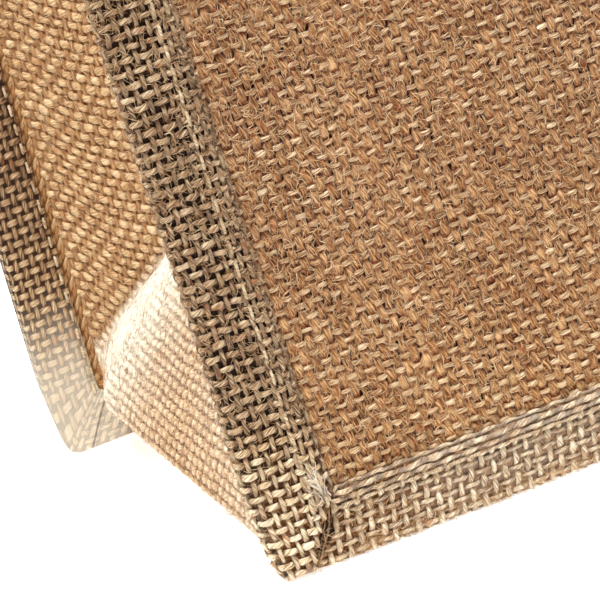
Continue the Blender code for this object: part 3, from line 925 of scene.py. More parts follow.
def with_floor_bounce(graph, colour, crown, pale, reach, most):
    """The colour with painted floor bounce near the floor."""
    place = graph.node("ShaderNodeTexCoord").outputs["Object"]
    inputs = {"Colour": colour, "Place": place, "Pale": pale, "Reach": reach, "Most": most,
              "Crown": crown}
    return use_group(graph, FLOOR_BOUNCE, inputs)["Colour"]


def attribute(graph, name):
    return graph.node("ShaderNodeAttribute", attribute_name=name).outputs["Fac"]


def uv_place(graph, uv_map):
    """The two coordinates of a place on a UV map."""
    place = graph.node("ShaderNodeUVMap", uv_map=uv_map).outputs[0]
    return graph.node("ShaderNodeSeparateXYZ", [place]).outputs


def yarn_material(name, colours, relief=0.0002, bounce=None, groove=GROOVE):
    """Jute yarn. groove is the colour between its fibres where painted light lies on it."""
    made, shader, graph = principled(name)
    place = uv_place(graph, "fibre")
    tone, crown = attribute(graph, "tone"), attribute(graph, "crown")
    inputs = {"Length": place["X"], "Turn": place["Y"], "Tone": tone, "Crown": crown}
    fibres = use_group(graph, FIBRES, {**inputs, **colours})
    # Painted floor bounce near the floor, where it is given.
    colour = with_floor_bounce(graph, fibres["Colour"], crown, *bounce) if bounce else fibres["Colour"]
    # Painted light: floor bounce on the tape's yarns, highlight along the gusset's crest.
    lightened = {"Colour": colour, "Share": attribute(graph, "faded"), "Fibre": fibres["Height"],
                "Groove": groove, "Pale": LIT_PALE}
    colour = use_group(graph, PAINTED_LIGHT, lightened)["Colour"]
    made.node_tree.links.new(colour, shader.inputs["Base Color"])
    bump = {"Strength": 1.0, "Distance": relief, "Height": fibres["Height"]}
    made.node_tree.links.new(graph.node("ShaderNodeBump", bump).outputs[0], shader.inputs["Normal"])
    return made


SHEET_RELIEF = 0.0009
SHEET_SHEEN = 0.04


def sheet_material(name, warp, weft, pitches, widths, gap, bounce, under_yarns):
    """Woven cloth: the weave in step with the modelled yarns, its two yarns' fibres, and what
    shows between them, with painted shade at the yarns' edges, between them, under the modelled
    yarns and over the whole."""
    made, shader, graph = principled(name, sheen=SHEET_SHEEN)
    links = made.node_tree.links
    place = uv_place(graph, "weave")
    sizes = dict(zip(("Warp pitch", "Weft pitch", "Warp width", "Weft width"), (*pitches, *widths)))
    woven = use_group(graph, WEAVE, {"Across": place["X"], "Along": place["Y"], **sizes})
    inputs = {key: woven[key] for key in ("Length", "Turn", "Tone", "Crown")}
    outs = [use_group(graph, FIBRES, {**inputs, **colours}) for colours in (warp, weft)]
    colour = graph.blend(woven["Weft"], outs[0]["Colour"], outs[1]["Colour"])
    # Painted shade at the yarns' edges and between them, and over the whole.
    edge = graph.span(woven["Height"], -0.1, 0.45, 0.0, 1.0)
    colour = graph.blend(edge, graph.blend(1.0, colour, gap["edge"], how="MULTIPLY"), colour)
    colour = graph.blend(woven["Cover"], gap["ground"], colour)
    colour = graph.blend(1.0, colour, gap["whole"], how="MULTIPLY")
    # Painted floor bounce near the floor, on the weave and on the ground under the modelled yarns.
    if bounce:
        colour = with_floor_bounce(graph, colour, woven["Crown"], *bounce[0])
    # Painted light: floor bounce on the tapes, highlight along the gusset's crest.
    faded, pale = attribute(graph, "faded"), gap["pale"]
    lightened = {"Colour": colour, "Share": faded, "Groove": pale, "Pale": pale}
    colour = use_group(graph, PAINTED_LIGHT, lightened)["Colour"]
    # Painted shade under the modelled yarns, lighter where painted light lies.
    if under_yarns:
        under = with_floor_bounce(graph, gap["under"], 1.0, *bounce[1]) if bounce else gap["under"]
        streak = graph.span(outs[0]["Height"], 0.35, 0.85, 0.0, 0.65)
        for share, other in ((graph.math("MULTIPLY", faded, 3.0), gap["lit_under"]),
                             (streak, gap["ground"]),
                             (graph.span(faded, 0.35, 0.9, 0.0, 0.75), pale)):
            under = graph.blend(share, under, other)
        colour = graph.blend(attribute(graph, "worked"), colour, under)
    links.new(colour, shader.inputs["Base Color"])
    fibre = graph.math("MULTIPLY_ADD", outs[0]["Height"], 0.10, woven["Height"])
    fibre = graph.math("MULTIPLY", fibre, graph.math("MULTIPLY_ADD", faded, -0.9, 1.0))
    bump = {"Strength": 1.0, "Distance": SHEET_RELIEF, "Height": fibre}
    links.new(graph.node("ShaderNodeBump", bump).outputs[0], shader.inputs["Normal"])
    return made


def gaps(*colours):
    """Colours of a sheet: painted shade at its yarns' edges, between them and under modelled yarns,
    a lighter colour under them where painted light lies, and painted shade over the whole. Painted
    light takes it to the pale colour."""
    named = zip(("edge", "ground", "under", "lit_under", "whole"), colours)
    return {"pale": LIT_PALE, **{name: linear(*colour) for name, colour in named}}


# Painted shade at the yarns' edges, between them, under the modelled yarns and over the whole; the
# fourth colour is for painted light. The back tape's foot has its own, darker pale colour for
# painted light.
BURLAP_GAPS = gaps((150, 100, 62), (76, 40, 18), (82, 43, 19), (160, 110, 66), (250, 249, 246))
GUSSET_GAPS = gaps((170, 126, 86), (140, 96, 58), (158, 108, 62), (206, 166, 120),
                   (244, 240, 234))
TAPE_GAPS = gaps((140, 106, 76), (48, 30, 18), (48, 30, 18), (158, 104, 60), (246, 244, 240))
FOOT_GAPS = {**TAPE_GAPS, "pale": linear(201, 192, 176)}
BURLAP_PITCHES = (WARP_PITCH * 1000, WEFT_PITCH * 1000)
BURLAP_WIDTHS = (0.47, 0.25)
GUSSET_WIDTHS = (0.34, 0.37)
TAPE_PITCHES = (TAPE_END_PITCH * 1000, TAPE_PICK_PITCH * 1000)
TAPE_WIDTHS = (0.25, 0.28)
# Painted floor bounce on the tape's yarns, on the ground under them, on the back tape and on the
# panel
YARN_BOUNCE = (linear(255, 250, 238), 0.044, 1.50)     # its tint, height above the floor, and share
GROUND_BOUNCE = (linear(255, 206, 150), 0.040, 1.50)
FOOT_BOUNCE = (linear(255, 253, 246), 0.070, 1.30)
PANEL_BOUNCE = (linear(255, 236, 206), 0.080, 0.40)


# ---------------------------------------------------------------- sheets

# How much lower a sheet's outer face lies under modelled yarns
OPEN_GAP = 0.0010
GUSSET_GAP = 0.0006


def base_sheet(name, points, maps, full, worked, materials, flip=1, faded=None,
               lowered=OPEN_GAP):
    """A closed sheet from a grid of mid-surface points, with its thickness at each. Where it is
    worked, its outer face is lowered to make room for the modelled yarns."""
    across, along = points.shape[:2]
    normals = np.cross(np.gradient(points, axis=0), np.gradient(points, axis=1)) * flip
    normals /= np.maximum(np.linalg.norm(normals, axis=-1, keepdims=True), 1e-12)
    inner = points - normals * full[..., None] / 2
    inner[..., 2] = np.maximum(inner[..., 2], FLOOR_CLEARANCE)
    grid = bmesh.new()
    bmesh.ops.create_grid(grid, x_segments=across - 1, y_segments=along - 1, size=0.5)
    places = []
    for vert in grid.verts:
        place = round((vert.co.x + 0.5) * (across - 1)), round((vert.co.y + 0.5) * (along - 1))
        vert.co = inner[place]
        places.append(place)
    layer = grid.loops.layers.uv.new("weave")
    for face in grid.faces:
        for loop in face.loops:
            loop[layer].uv = maps[places[loop.vert.index]]
    if flip < 0:
        bmesh.ops.reverse_faces(grid, faces=grid.faces)
    mesh = mesh_of(name, grid)
    mesh.shade_smooth()
    mesh.validate()
    for label, values in (("worked", worked), ("faded", 0 * worked if faded is None else faded)):
        share = mesh.attributes.new(label, "FLOAT", "POINT")
        share.data.foreach_set("value", np.array([values[place] for place in places], np.float32))
    piece = new_object(name, mesh, *materials)
    thickest = float(full.max())
    group = piece.vertex_groups.new(name="thickness")
    for index, place in enumerate(places):
        thickness = full[place] - min(lowered, full[place] - 0.0002) * worked[place]
        group.add([index], float(thickness / thickest), "REPLACE")
    shell = piece.modifiers.new("cloth", "SOLIDIFY")
    shell.offset = 1.0
    shell.thickness = thickest
    shell.vertex_group = group.name
    shell.thickness_vertex_group = 0.0
    shell.material_offset = 1
    shell.material_offset_rim = 1
    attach(piece, "root")
    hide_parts(name.replace("_cloth", ""))
    return piece


def sheet_grid(*axes):
    return np.meshgrid(*[np.asarray(axis, float) for axis in axes], indexing="ij")


PANEL_SPACING = 0.0065     # between a panel sheet's rows and columns
HEM_STEP = (0.0012, 0.002)  # rows over the line where the hem's inner layer ends,
HEM_TOP = (0.008, 0.0012, 0.0)  # and below the top edge
TOP_LAYERS = 1.3           # thickness in layers of the hem's rounded top edge


def hemmed(full, below_top, in_hem):
    """Thickness with a hem's second layer, which thins at the rounded top."""
    full = np.where(in_hem, 2 * CLOTH, full)
    return np.where((below_top < 0.001) & (full > CLOTH), TOP_LAYERS * CLOTH, full)


def panel_sheet(name, face, worked, materials):
    """A front or back panel with its turned hem."""
    inner = SEAM_X - BACK_SWEEP_START / 2
    hem_line = HEIGHT - HEM
    flange = np.array([SEAM_X, SEAM_X + PANEL_SPACING, SEAM_X + PANEL_REACH])
    columns = np.sort(np.concatenate([even(-inner, inner, PANEL_SPACING), flange, -flange]))
    rows = np.concatenate([[FLANGE - PANEL_REACH, 0.0045, 0.010],
                           even(FLANGE, hem_line, PANEL_SPACING),
                           hem_line + np.array(HEM_STEP), HEIGHT - np.array(HEM_TOP)])
    x, z = sheet_grid(columns, rows)
    points = on_flange(x, z, face, 0.0)
    full = hemmed(CLOTH, HEIGHT - z, (z > hem_line + 0.0015) & (np.abs(x) <= inner + 0.001))
    covered = smooth_step(worked.depth(x, z) / DIVE) if worked else np.zeros_like(x)
    maps = np.stack([x, z], axis=-1) * 1000
    return base_sheet(name, points, maps, full, covered, materials, -face)


FLANGE_ROWS = (PANEL_REACH, 0.0108, 0.0055, 0.0015)


def gusset_sheet(name, worked, materials):
    """The strip that makes the sides and the bottom, with its turned-out allowances."""
    low, hem_line = SEAM_BOTTOM + SEAM_CORNER * math.pi / 2, SEAM_HALF - HEM
    half = np.concatenate([
        even(0.0, SEAM_BOTTOM - 0.02, 0.006), SEAM_BOTTOM - np.array([0.014, 0.009, 0.005, 0.002]),
        SEAM_BOTTOM + SEAM_CORNER * np.array([0.2, 0.5, 0.8, 1.1, 1.4]),
        even(low, low + 0.09, 0.003), even(low + 0.095, hem_line, 0.005),
        hem_line + np.array(HEM_STEP), SEAM_HALF - np.array(HEM_TOP)])
    along = np.concatenate([-half[:0:-1], half])
    body = np.concatenate([[0.0015, 0.004, 0.008], even(0.0125, STRIP_HALF, 0.0045)])
    body = np.concatenate([body, 2 * STRIP_HALF - body[-2::-1]])
    lines, rows = [], []
    for face in (-1, 1):
        reaches = (*FLANGE_ROWS, 0.0) if face < 0 else (0.0, *FLANGE_ROWS[::-1])
        for reach in reaches:
            radius = SEAM_CORNER + (PANEL_CORNER - SEAM_CORNER) * reach / PANEL_REACH
            found = [rounded_path(SEAM_X + reach, FLANGE - reach, radius, *seam_station(abs(one)))
                     for one in along]
            x, z = np.array(found).T
            lines.append(on_flange(np.where(along < 0, -x, x), z, face, GUSSET_OFFSET))
            rows.append(-reach if face < 0 else 2 * STRIP_HALF + reach)
        if face < 0:
            for across in body:
                lines.append(gusset_line(across, along))
                rows.append(across)
    across, length = sheet_grid(rows, along)
    points, up = np.array(lines), np.abs(length)
    within = (across > 0.004) & (across < 2 * STRIP_HALF - 0.004)
    full = hemmed(CLOTH, SEAM_HALF - up, (up > hem_line + 0.0015) & within)
    maps = np.stack([across, length], axis=-1) * 1000
    on_side = (up > SEAM_BOTTOM) & (across > 0) & (across < 2 * STRIP_HALF)
    depth = worked.depth(across, length)
    covered, near = smooth_step(depth / DIVE), smooth_step((depth + 0.014) / 0.018)
    # Painted highlight along the low fold's crest, weaker away from the worked stretch.
    faded = crest_highlight(across, points, 0.016 - 0.009 * covered) * on_side * (0.22 + 0.78 * near)
    covered = covered * (1 - crest_band(across, points) * on_side)
    return base_sheet(name, points, maps, full, covered, materials, faded=faded,
                      lowered=GUSSET_GAP)


def tape_rows():
    """The folded tape across its width: reach outside the seam, inward offset, thickness."""
    near, far = -FRONT_TAPE_OFFSET, BACK_TAPE_OFFSET
    raised, turn = near - TAPE / 2, TAPE_REACH - 0.0006
    return [
        *((reach, raised, 2.0 * TAPE) for reach in (0.0003, 0.0010, 0.0030)),
        (0.0038, raised + 0.0001, 1.8 * TAPE),
        *((reach, near, TAPE) for reach in (0.0046, 0.0075, 0.0105, 0.0135, turn)),
        (TAPE_REACH, near + 0.0004, TAPE), (TAPE_REACH, far - 0.0004, TAPE),
        *((reach, far, TAPE) for reach in (turn, 0.0130, 0.0095, 0.0060, BACK_TAPE_START)),
    ]


def tape_stations():
    """Half of the tape's course: inner point, outer point, how proud the tape lies, and length."""
    outer_x, low = SEAM_X + TAPE_REACH, TAPE / 2 + TAPE_CLEARANCE
    inner_x, inner_z = SEAM_X - TAPE_INNER_CORNER, FLANGE + TAPE_INNER_CORNER
    foot = WIDTH / 2 - MITRE_FOOT
    stations = []
    for x in even(0.0, inner_x, 0.0045):
        skew = (foot - inner_x) * float(smooth_step(1 - (inner_x - x) / MITRE_FADE))
        stations.append(((x, FLANGE), (x + skew, low), 0.0, x))
    cut = TAPE_CORNER * (1 - math.sqrt(0.5))
    corner = [(foot + 0.0007, low), (outer_x - TAPE_CORNER, low), (outer_x - cut, low + cut),
              (outer_x, low + TAPE_CORNER), (outer_x, low + 0.010)]
    for step, outer in enumerate(corner, start=1):
        angle = step / (len(corner) + 1) * math.pi / 2
        inner = (inner_x + TAPE_INNER_CORNER * math.sin(angle),
                 inner_z - TAPE_INNER_CORNER * math.cos(angle))
        stations.append((inner, outer, 1.0, WIDTH / 2 + FLANGE * step / (len(corner) + 1)))
    for z in even(inner_z, HEIGHT, 0.0045):
        proud = 1 - float(smooth_step((z - inner_z) / MITRE_FADE))
        stations.append(((SEAM_X, z), (outer_x, z), proud, WIDTH / 2 + z))
    return stations


def floor_bounce_share(across, points):
    """How much painted floor bounce the tape carries near the floor, a little more away from the
    foot.
    """
    most = 0.25 + 0.26 * smooth_step((points[..., 0] + 0.190) / 0.045)
    return most * smooth_step(1.5 - points[..., 2] / 0.022)


def foot_bounce_share(across, points):
    """Painted floor bounce makes the back tape's left foot nearly white."""
    low = smooth_step(1.6 - points[..., 2] / 0.030)
    foot = smooth_step((-points[..., 0] - 0.165) / 0.02) * low
    return np.maximum(0.35 * floor_bounce_share(across, points), 0.74 * foot)


def tape_sheet(name, face, worked, materials):
    """A binding tape on its flange: down the left, along the bottom and up the right."""
    half = tape_stations()
    stations = [(-1, *one) for one in reversed(half)] + [(1, *one) for one in half[1:]]
    rows = tape_rows()
    reaches, inwards, full = np.array(rows).T
    across_map = run_along(reaches, inwards) + 0.0024
    lines = []
    for reach, inward, _ in rows:
        share = reach / TAPE_REACH
        line = []
        for hand, inner, outer, proud, _ in stations:
            x = inner[0] + (outer[0] - inner[0]) * share
            z = inner[1] + (outer[1] - inner[1]) * share
            line.append((hand * x, z, inward - (MITRE_STEP * proud if inward < 0 else 0.0)))
        x, z, offset = np.array(line).T
        lines.append(on_flange(x, z, face, offset))
    full = np.repeat(full[:, None], len(stations), axis=1)
    points = np.array(lines)
    covered = np.zeros(full.shape)
    if worked:
        x, z = points[..., 0], points[..., 2]
        upright = smooth_step((TAPE_TOP - z) / DIVE) * (x < -SEAM_X + 0.004)
        upright = upright * np.maximum(smooth_step((z - 0.001) / 0.004),
                                       smooth_step((x + 0.1965) / 0.003))
        level = smooth_step((TAPE_RIGHT - x) / DIVE) * (z < FLANGE + 0.003)
        covered = np.where((inwards < 0.0005)[:, None], np.maximum(upright, level), 0.0)
    signed = [hand * length for hand, _, _, _, length in stations]
    across, along = sheet_grid(across_map, signed)
    # Painted floor bounce: on the front tape near the floor, and on the back tape nearly white at
    # its left foot.
    if face < 0:
        faded = floor_bounce_share(across, points) * (0.35 + 0.65 * covered)
    else:
        faded = foot_bounce_share(across, points)
    maps = np.stack([across, along], axis=-1) * 1000
    return base_sheet(name, points, maps, full, covered, materials, -face, faded)


TAPE_TOP = 0.156           # the tape's yarns are modelled up to this height
TAPE_RIGHT = -0.104        # and up to here along the bottom


# ---------------------------------------------------------------- the sack

def pair(name, *finish, bounce=None):
    """A sheet's outer material and the one for its inner face, which has no modelled yarns."""
    return [sheet_material(name + ending, *finish, bounce, not ending)
            for ending in ("", "_inside")]


def yarn_pair(name, warp, weft, **bounce):
    return [yarn_material(name + ending, colours, **bounce)
            for ending, colours in (("_warp", warp), ("_weft", weft))]


front = panel_cloth(-1)
gusset = gusset_cloth()
in_tape = (front.points[..., 0] <= -SEAM_X - 0.002) | (front.points[..., 2] <= FLANGE - 0.0015)
front_worked = Worked(front, 0.07, ~in_tape)
gusset_worked = Worked(gusset, 0.05, past_flange(gusset) & (gusset.along < -0.06), 0.004)

burlap = pair("burlap", BURLAP_WARP, BURLAP_WEFT, BURLAP_PITCHES, BURLAP_WIDTHS, BURLAP_GAPS,
              bounce=(PANEL_BOUNCE, PANEL_BOUNCE))
gusset_burlap = pair("gusset_burlap", GUSSET_WARP, GUSSET_WEFT, BURLAP_PITCHES, GUSSET_WIDTHS,
                     GUSSET_GAPS)
tape = pair("binding_tape", TAPE_ENDS, TAPE_PICKS, TAPE_PITCHES, TAPE_WIDTHS, TAPE_GAPS,
            bounce=(YARN_BOUNCE, GROUND_BOUNCE))
back_finish = pair("back_tape", TAPE_ENDS, TAPE_PICKS, TAPE_PITCHES, TAPE_WIDTHS, FOOT_GAPS,
                   bounce=(FOOT_BOUNCE, FOOT_BOUNCE))

front_sheet = panel_sheet("front_panel_cloth", -1, front_worked, burlap)
back_sheet = panel_sheet("back_panel_cloth", 1, None, burlap)
side_sheet = gusset_sheet("gusset_cloth", gusset_worked, gusset_burlap)
front_tape = tape_sheet("front_binding_cloth", -1, True, tape)
back_tape = tape_sheet("back_binding_cloth", 1, False, back_finish)


def felted(across, along):
    """The gusset's yarns sink out of sight in the felted band along the crest."""
    return -1.2 * SUNK * crest_band(across, gusset.at(across, along)[0])


panel_yarns = weave_cloth(
    front, front_worked, "panel", (WARP, WEFT),
    yarn_pair("panel", BURLAP_WARP, BURLAP_WEFT, bounce=PANEL_BOUNCE), "burlap_panel",
    ((FLANGE, 1.0), (-SEAM_X, 1.0)), (7, 6), ragged=0.007)
# The gusset's yarns carry the painted highlight along the crest.
gusset_yarns = weave_cloth(
    gusset, gusset_worked, "gusset", (SIDE_WARP, SIDE_WEFT),
    yarn_pair("gusset", GUSSET_WARP, GUSSET_WEFT), "burlap_gusset",
    ((-1.0, 1.0), (0.0, 2 * STRIP_HALF)), (6, 6), steps=3.5, over=felted, faded=crest_highlight)


# The tape's yarns near the foot. The first four lengthwise yarns are crowded in its turned edge.
END_PLACES = np.array([0.0016, 0.0032, 0.0048, 0.0064, 0.0084, 0.0108, 0.0132, 0.0156, 0.0180,
                       0.0204, 0.0228])
BAND_END = 0.0066          # across, where the crowded band ends
FRONT_END = 0.0190         # where the tape turns over the flange's edge
MITRE_TOP = FLANGE + TAPE_INNER_CORNER
MITRE_REACH = FLANGE - MITRE_FOOT + TAPE_INNER_CORNER
TAPE_HIDDEN = 0.0242       # across, where the tape turns out of sight behind the flange
SLANT = -0.16              # of the level tape's crosswise yarns
SLIT = 0.0034              # width of the mitre's open slit
SLIT_MIDDLE = 0.0086       # height of its widest place
BAND_LIFT = 0.00022        # of the crowded yarns
TAPE_LIFT = 0.00005        # of the tape's other yarns


def mitre_height(reach):
    """Height of the mitre's fold at a reach outside the seam."""
    return MITRE_TOP * (1 - (reach + TAPE_INNER_CORNER) / MITRE_REACH)


def mitre_reach(height):
    return -TAPE_INNER_CORNER + MITRE_REACH * (1 - height / MITRE_TOP)


def slit_width(height):
    return 0.0005 + SLIT * np.exp(-((height - SLIT_MIDDLE) / 0.0048) ** 2)


def slit_side(height):
    """x of the slit's right side, where the level tape begins."""
    return -SEAM_X - mitre_reach(height) + slit_width(height)


def reach_of(across):
    return np.interp(across, TAPE_LENGTHS, TAPE_PROFILE[:, 0])


def across_of(reach):
    front_part = TAPE_LENGTHS < FRONT_END
    return np.interp(reach, TAPE_PROFILE[front_part, 0][4:], TAPE_LENGTHS[front_part][4:])


def mitre_rise(height):
    """The upright tape lies over the level one at the mitre."""
    return MITRE_STEP * (1 - smooth_step((height - MITRE_TOP) / MITRE_FADE))


def proud(across, along):
    """How proud the upright tape lies, with the swelling of its fold at the mitre."""
    above = along - np.where(across < FRONT_END, mitre_height(reach_of(across)), 0.0)
    swell = 0.0007 * np.exp(-((above - 0.0018) / 0.0042) ** 2)
    return mitre_rise(along) + swell * smooth_step((0.0185 - across) / 0.003)


def below_band(across):
    """The crosswise yarns pass a little below the lengthwise ones that are crowded in the band."""
    return BAND_LIFT * smooth_step((0.0074 - across) / 0.001)


def weave_tape(finishes):
    # The tape's yarns carry painted floor bounce near the floor.
    ends, picks = Tubes(7), Tubes(7)
    for index, place in enumerate(END_PLACES):
        reach = reach_of(place)
        low = max(mitre_height(reach) + 0.0002 if place < FRONT_END else 0.0, 0.0012)
        form, lift = (TAPE_BAND, BAND_LIFT) if place < BAND_END else (TAPE_END, TAPE_LIFT)
        lay_yarn(ends, upright, form, True, place, low, TAPE_TOP, TAPE_PICK_PITCH, index, lift,
                 sink=(place < 0.017, True), dive=0.0018, over=proud, faded=floor_bounce_share)
        side = slit_side(max(FLANGE - reach, 0.0))
        lay_yarn(ends, level, form, True, place, side, TAPE_RIGHT, TAPE_PICK_PITCH, index, lift,
                 dive=0.0012, slant=SLANT, faded=floor_bounce_share)

    def lay_pick(cloth, place, low, index, **course):
        lay_yarn(picks, cloth, TAPE_PICK, False, place, low, TAPE_HIDDEN, TAPE_END_PITCH, index,
                 TAPE_LIFT, crossings=END_PLACES, faded=floor_bounce_share, **course)

    for index in range(0, math.floor(TAPE_TOP / TAPE_PICK_PITCH)):
        height = (index + 0.5) * TAPE_PICK_PITCH
        cut = height < MITRE_TOP
        low = across_of(max(mitre_reach(height), 0.0003)) + 0.0003 if cut else 0.0006
        lay_pick(upright, height, low, index, sink=(cut, False), dive=0.0016,
                 over=lambda at, up: proud(at, up) - below_band(at))
    first, last = -WIDTH / 2 / TAPE_PICK_PITCH, TAPE_RIGHT / TAPE_PICK_PITCH
    for index in range(math.ceil(first), math.floor(last)):
        place = (index + 0.5) * TAPE_PICK_PITCH
        course = even(0.0006, FRONT_END, 0.0002)
        side = slit_side(np.maximum(FLANGE - reach_of(course), 0.0))
        hidden = course[place + SLANT * course < side]
        if len(hidden) and hidden[-1] > 0.0165:
            continue
        low = max(hidden[-1] if len(hidden) else 0.0, 0.0050)
        lay_pick(level, place, low, index, sink=(True, False), dive=0.0012, slant=SLANT,
                 over=lambda at, up: -below_band(at))
    return [tubes.piece(name, finish, "jute_tape")
            for tubes, name, finish in zip((ends, picks), ("tape_ends", "tape_picks"), finishes)]


upright, level = tape_cloth(True), tape_cloth(False)
tape_yarns = weave_tape([yarn_material(name, colours, 0.00018, YARN_BOUNCE, TAPE_GROOVE)
                         for name, colours in (("tape_end_yarn", TAPE_ENDS),
                                               ("tape_pick_yarn", TAPE_PICKS))])

# ---------------------------------------------------------------- loose fibres

loose = yarn_material("loose_fibre", LOOSE, 0.00003)


def spots(count, first, last):
    return random.uniform(first, last, count)


def inside_spots(worked, count, beyond):
    """Random places on the worked stretch, thinning out over a distance beyond its far sides."""
    across = spots(count, worked.start, worked.end + beyond)
    along = spots(count, worked.low.min(), worked.high.max() + beyond)
    low, high = worked.along(across)
    near = np.minimum(along - low, across - worked.start) > 0.002
    far = np.minimum(high - along, worked.end - across) - 0.002
    kept = near & (spots(count, 0, 1) * max(beyond, 1e-6) < beyond + far if beyond else far > 0)
    return across[kept], along[kept]


# Fibres that lie on a cloth: rings, the angles that they run near and how far from them, a gamma
# shape and scale for their lengths and the least length, depth and rise over the yarns' crests,
# thickness, and how much they curl
NAP = (3, (math.pi / 2, 0.0), 0.32, (5.0, 0.00036, 0.0004), (-0.0004, 0.0001), 0.0003,
       (0.00004, 0.000095), 0.9)
STRAY = (7, (0.0, math.pi / 2), 0.45, (4.0, 0.0010, 0.0015), (-0.0003, 0.0002), 0.0004,
         (0.00004, 0.00008), 1.0)
LONGEST_CURL = 0.006       # of the tape's long fibres


def lengths_of(count, shape, scale, least):
    return random.gamma(shape, scale, count) + least


def fuzz(name, kind, cloth, worked, count, low, first_share, slot, rise=None, beyond=0.0):
    """A piece of loose fibres on a woven cloth. first_share of them run near the first angle."""
    rings, angles, turn, lengths, depth, usual_rise, thick, curl = kind
    tubes = Tubes(3)
    across, along = inside_spots(worked, count, beyond)
    count = len(across)
    heading = np.where(random.uniform(0, 1, count) < first_share, *angles)
    heading = heading + random.normal(0, turn, count)
    lying_fibres(tubes, cloth, across, along, heading, lengths_of(count, *lengths),
                 low + random.uniform(*depth, count),
                 (rise or usual_rise) * random.gamma(1.5, 0.6, count),
                 random.uniform(*thick, count), random.normal(0, curl, count), rings=rings)
    return tubes.piece(name, loose, slot)


panel_fuzz = [
    fuzz("panel_nap", NAP, front, front_worked, 19500, 0.00095, 0.62, "burlap_panel", beyond=0.022),
    fuzz("panel_loose_fibres", STRAY, front, front_worked, 1900, 0.0008, 0.5, "burlap_panel",
         beyond=0.022)]
gusset_fuzz = [
    fuzz("gusset_nap", NAP, gusset, gusset_worked, 5000, 0.0009, 0.4, "burlap_gusset"),
    fuzz("gusset_loose_fibres", STRAY, gusset, gusset_worked, 500, 0.0007, 0.5, "burlap_gusset",
         rise=0.0003)]


def tape_fuzz():
    """Loose fibres on the tape near the foot, the fringe along its edges, and the long curls."""
    tubes = Tubes(3)
    for cloth, count, low, high in ((upright, 1900, 0.004, TAPE_TOP),
                                    (level, 1200, -SEAM_X + 0.002, TAPE_RIGHT)):
        across, along = spots(count, 0.0005, 0.0200), spots(count, low, high)
        heading = random.normal(0, 0.5, count) + math.pi / 2 * random.integers(0, 4, count)
        lying_fibres(tubes, cloth, across, along, heading, lengths_of(count, 3.0, 0.0007, 0.0006),
                     0.0006 + spots(count, -0.0003, 0.0003), 0.0003 * random.gamma(1.5, 0.6, count),
                     spots(count, 0.00003, 0.00007), random.normal(0, 1.2, count), rings=4)
    for cloth, count, low, high in ((upright, 560, 0.001, TAPE_TOP),
                                    (level, 260, -SEAM_X - 0.008, TAPE_RIGHT)):
        along = spots(count, low, high)
        start, out = cloth.at(spots(count, 0.0178, 0.0225), along)
        standing_fibres(tubes, start - 0.0003 * out, out, lengths_of(count, 2.0, 0.0005, 0.0004),
                        spots(count, 0.00004, 0.00009), 0.55)
    count = 380
    start, _ = level.at(spots(count, 0.0160, 0.0182), spots(count, -SEAM_X - 0.009, TAPE_RIGHT))
    standing_fibres(tubes, start, np.array((0.0, -0.9, -0.25)),
                    lengths_of(count, 3.0, 0.0006, 0.0006), spots(count, 0.00006, 0.00011),
                    0.5, 0.8)
    count = 80
    along = spots(count, 0.004, TAPE_TOP)
    start, out = upright.at(spots(count, 0.0182, 0.0215), along)
    length = np.minimum(lengths_of(count, 3.0, 0.0010, 0.0008), LONGEST_CURL)
    standing_fibres(tubes, start - 0.0003 * out, out, length, spots(count, 0.00004, 0.00008),
                    0.5, 0.9, rings=9)
    return tubes.piece("tape_loose_fibres", loose, "jute_tape")


tape_fibres = tape_fuzz()


def mitre_slit():
    """The inside of the mitre's fold, a narrow strip beside the upright tape's folded edge,
    coloured dark as painted shade.
    """
    heights = even(0.0012, 0.0168, 0.0013)
    edge = -SEAM_X - mitre_reach(heights)
    wide = slit_width(heights)
    strip = bmesh.new()
    rows = []
    for share in (-0.4, 0.5, 1.2):
        places = on_flange(edge + share * wide, heights, -1, -0.00145)
        rows.append([strip.verts.new(place) for place in places])
    for first, second in zip(rows, rows[1:]):
        for index in range(len(heights) - 1):
            strip.faces.new((first[index], second[index], second[index + 1], first[index + 1]))
    bmesh.ops.recalc_face_normals(strip, faces=strip.faces)
    bmesh.ops.solidify(strip, geom=strip.faces[:], thickness=0.00015)
    order = Vector((1.0, 3.1, 9.7))
    strip.verts.sort(key=lambda vert: vert.co.dot(order))
    strip.faces.sort(key=lambda face: face.calc_center_median().dot(order))
    mesh = mesh_of("mitre_slit", strip)
    mesh.shade_smooth()
    made, shader, graph = principled("fold_shade", sheen=0.0)
    place = graph.node("ShaderNodeTexCoord").outputs["Object"]
    stretched = graph.node("ShaderNodeVectorMath", [place, (2600.0, 900.0, 500.0)],
                           operation="MULTIPLY").outputs[0]
    streaks = graph.span(graph.noise(stretched, 1.0), 0.35, 0.7)
    shade = graph.blend(streaks, linear(26, 15, 8), linear(74, 46, 26))
    made.node_tree.links.new(shade, shader.inputs["Base Color"])
    return on_sack(new_object("mitre_slit", mesh, made))


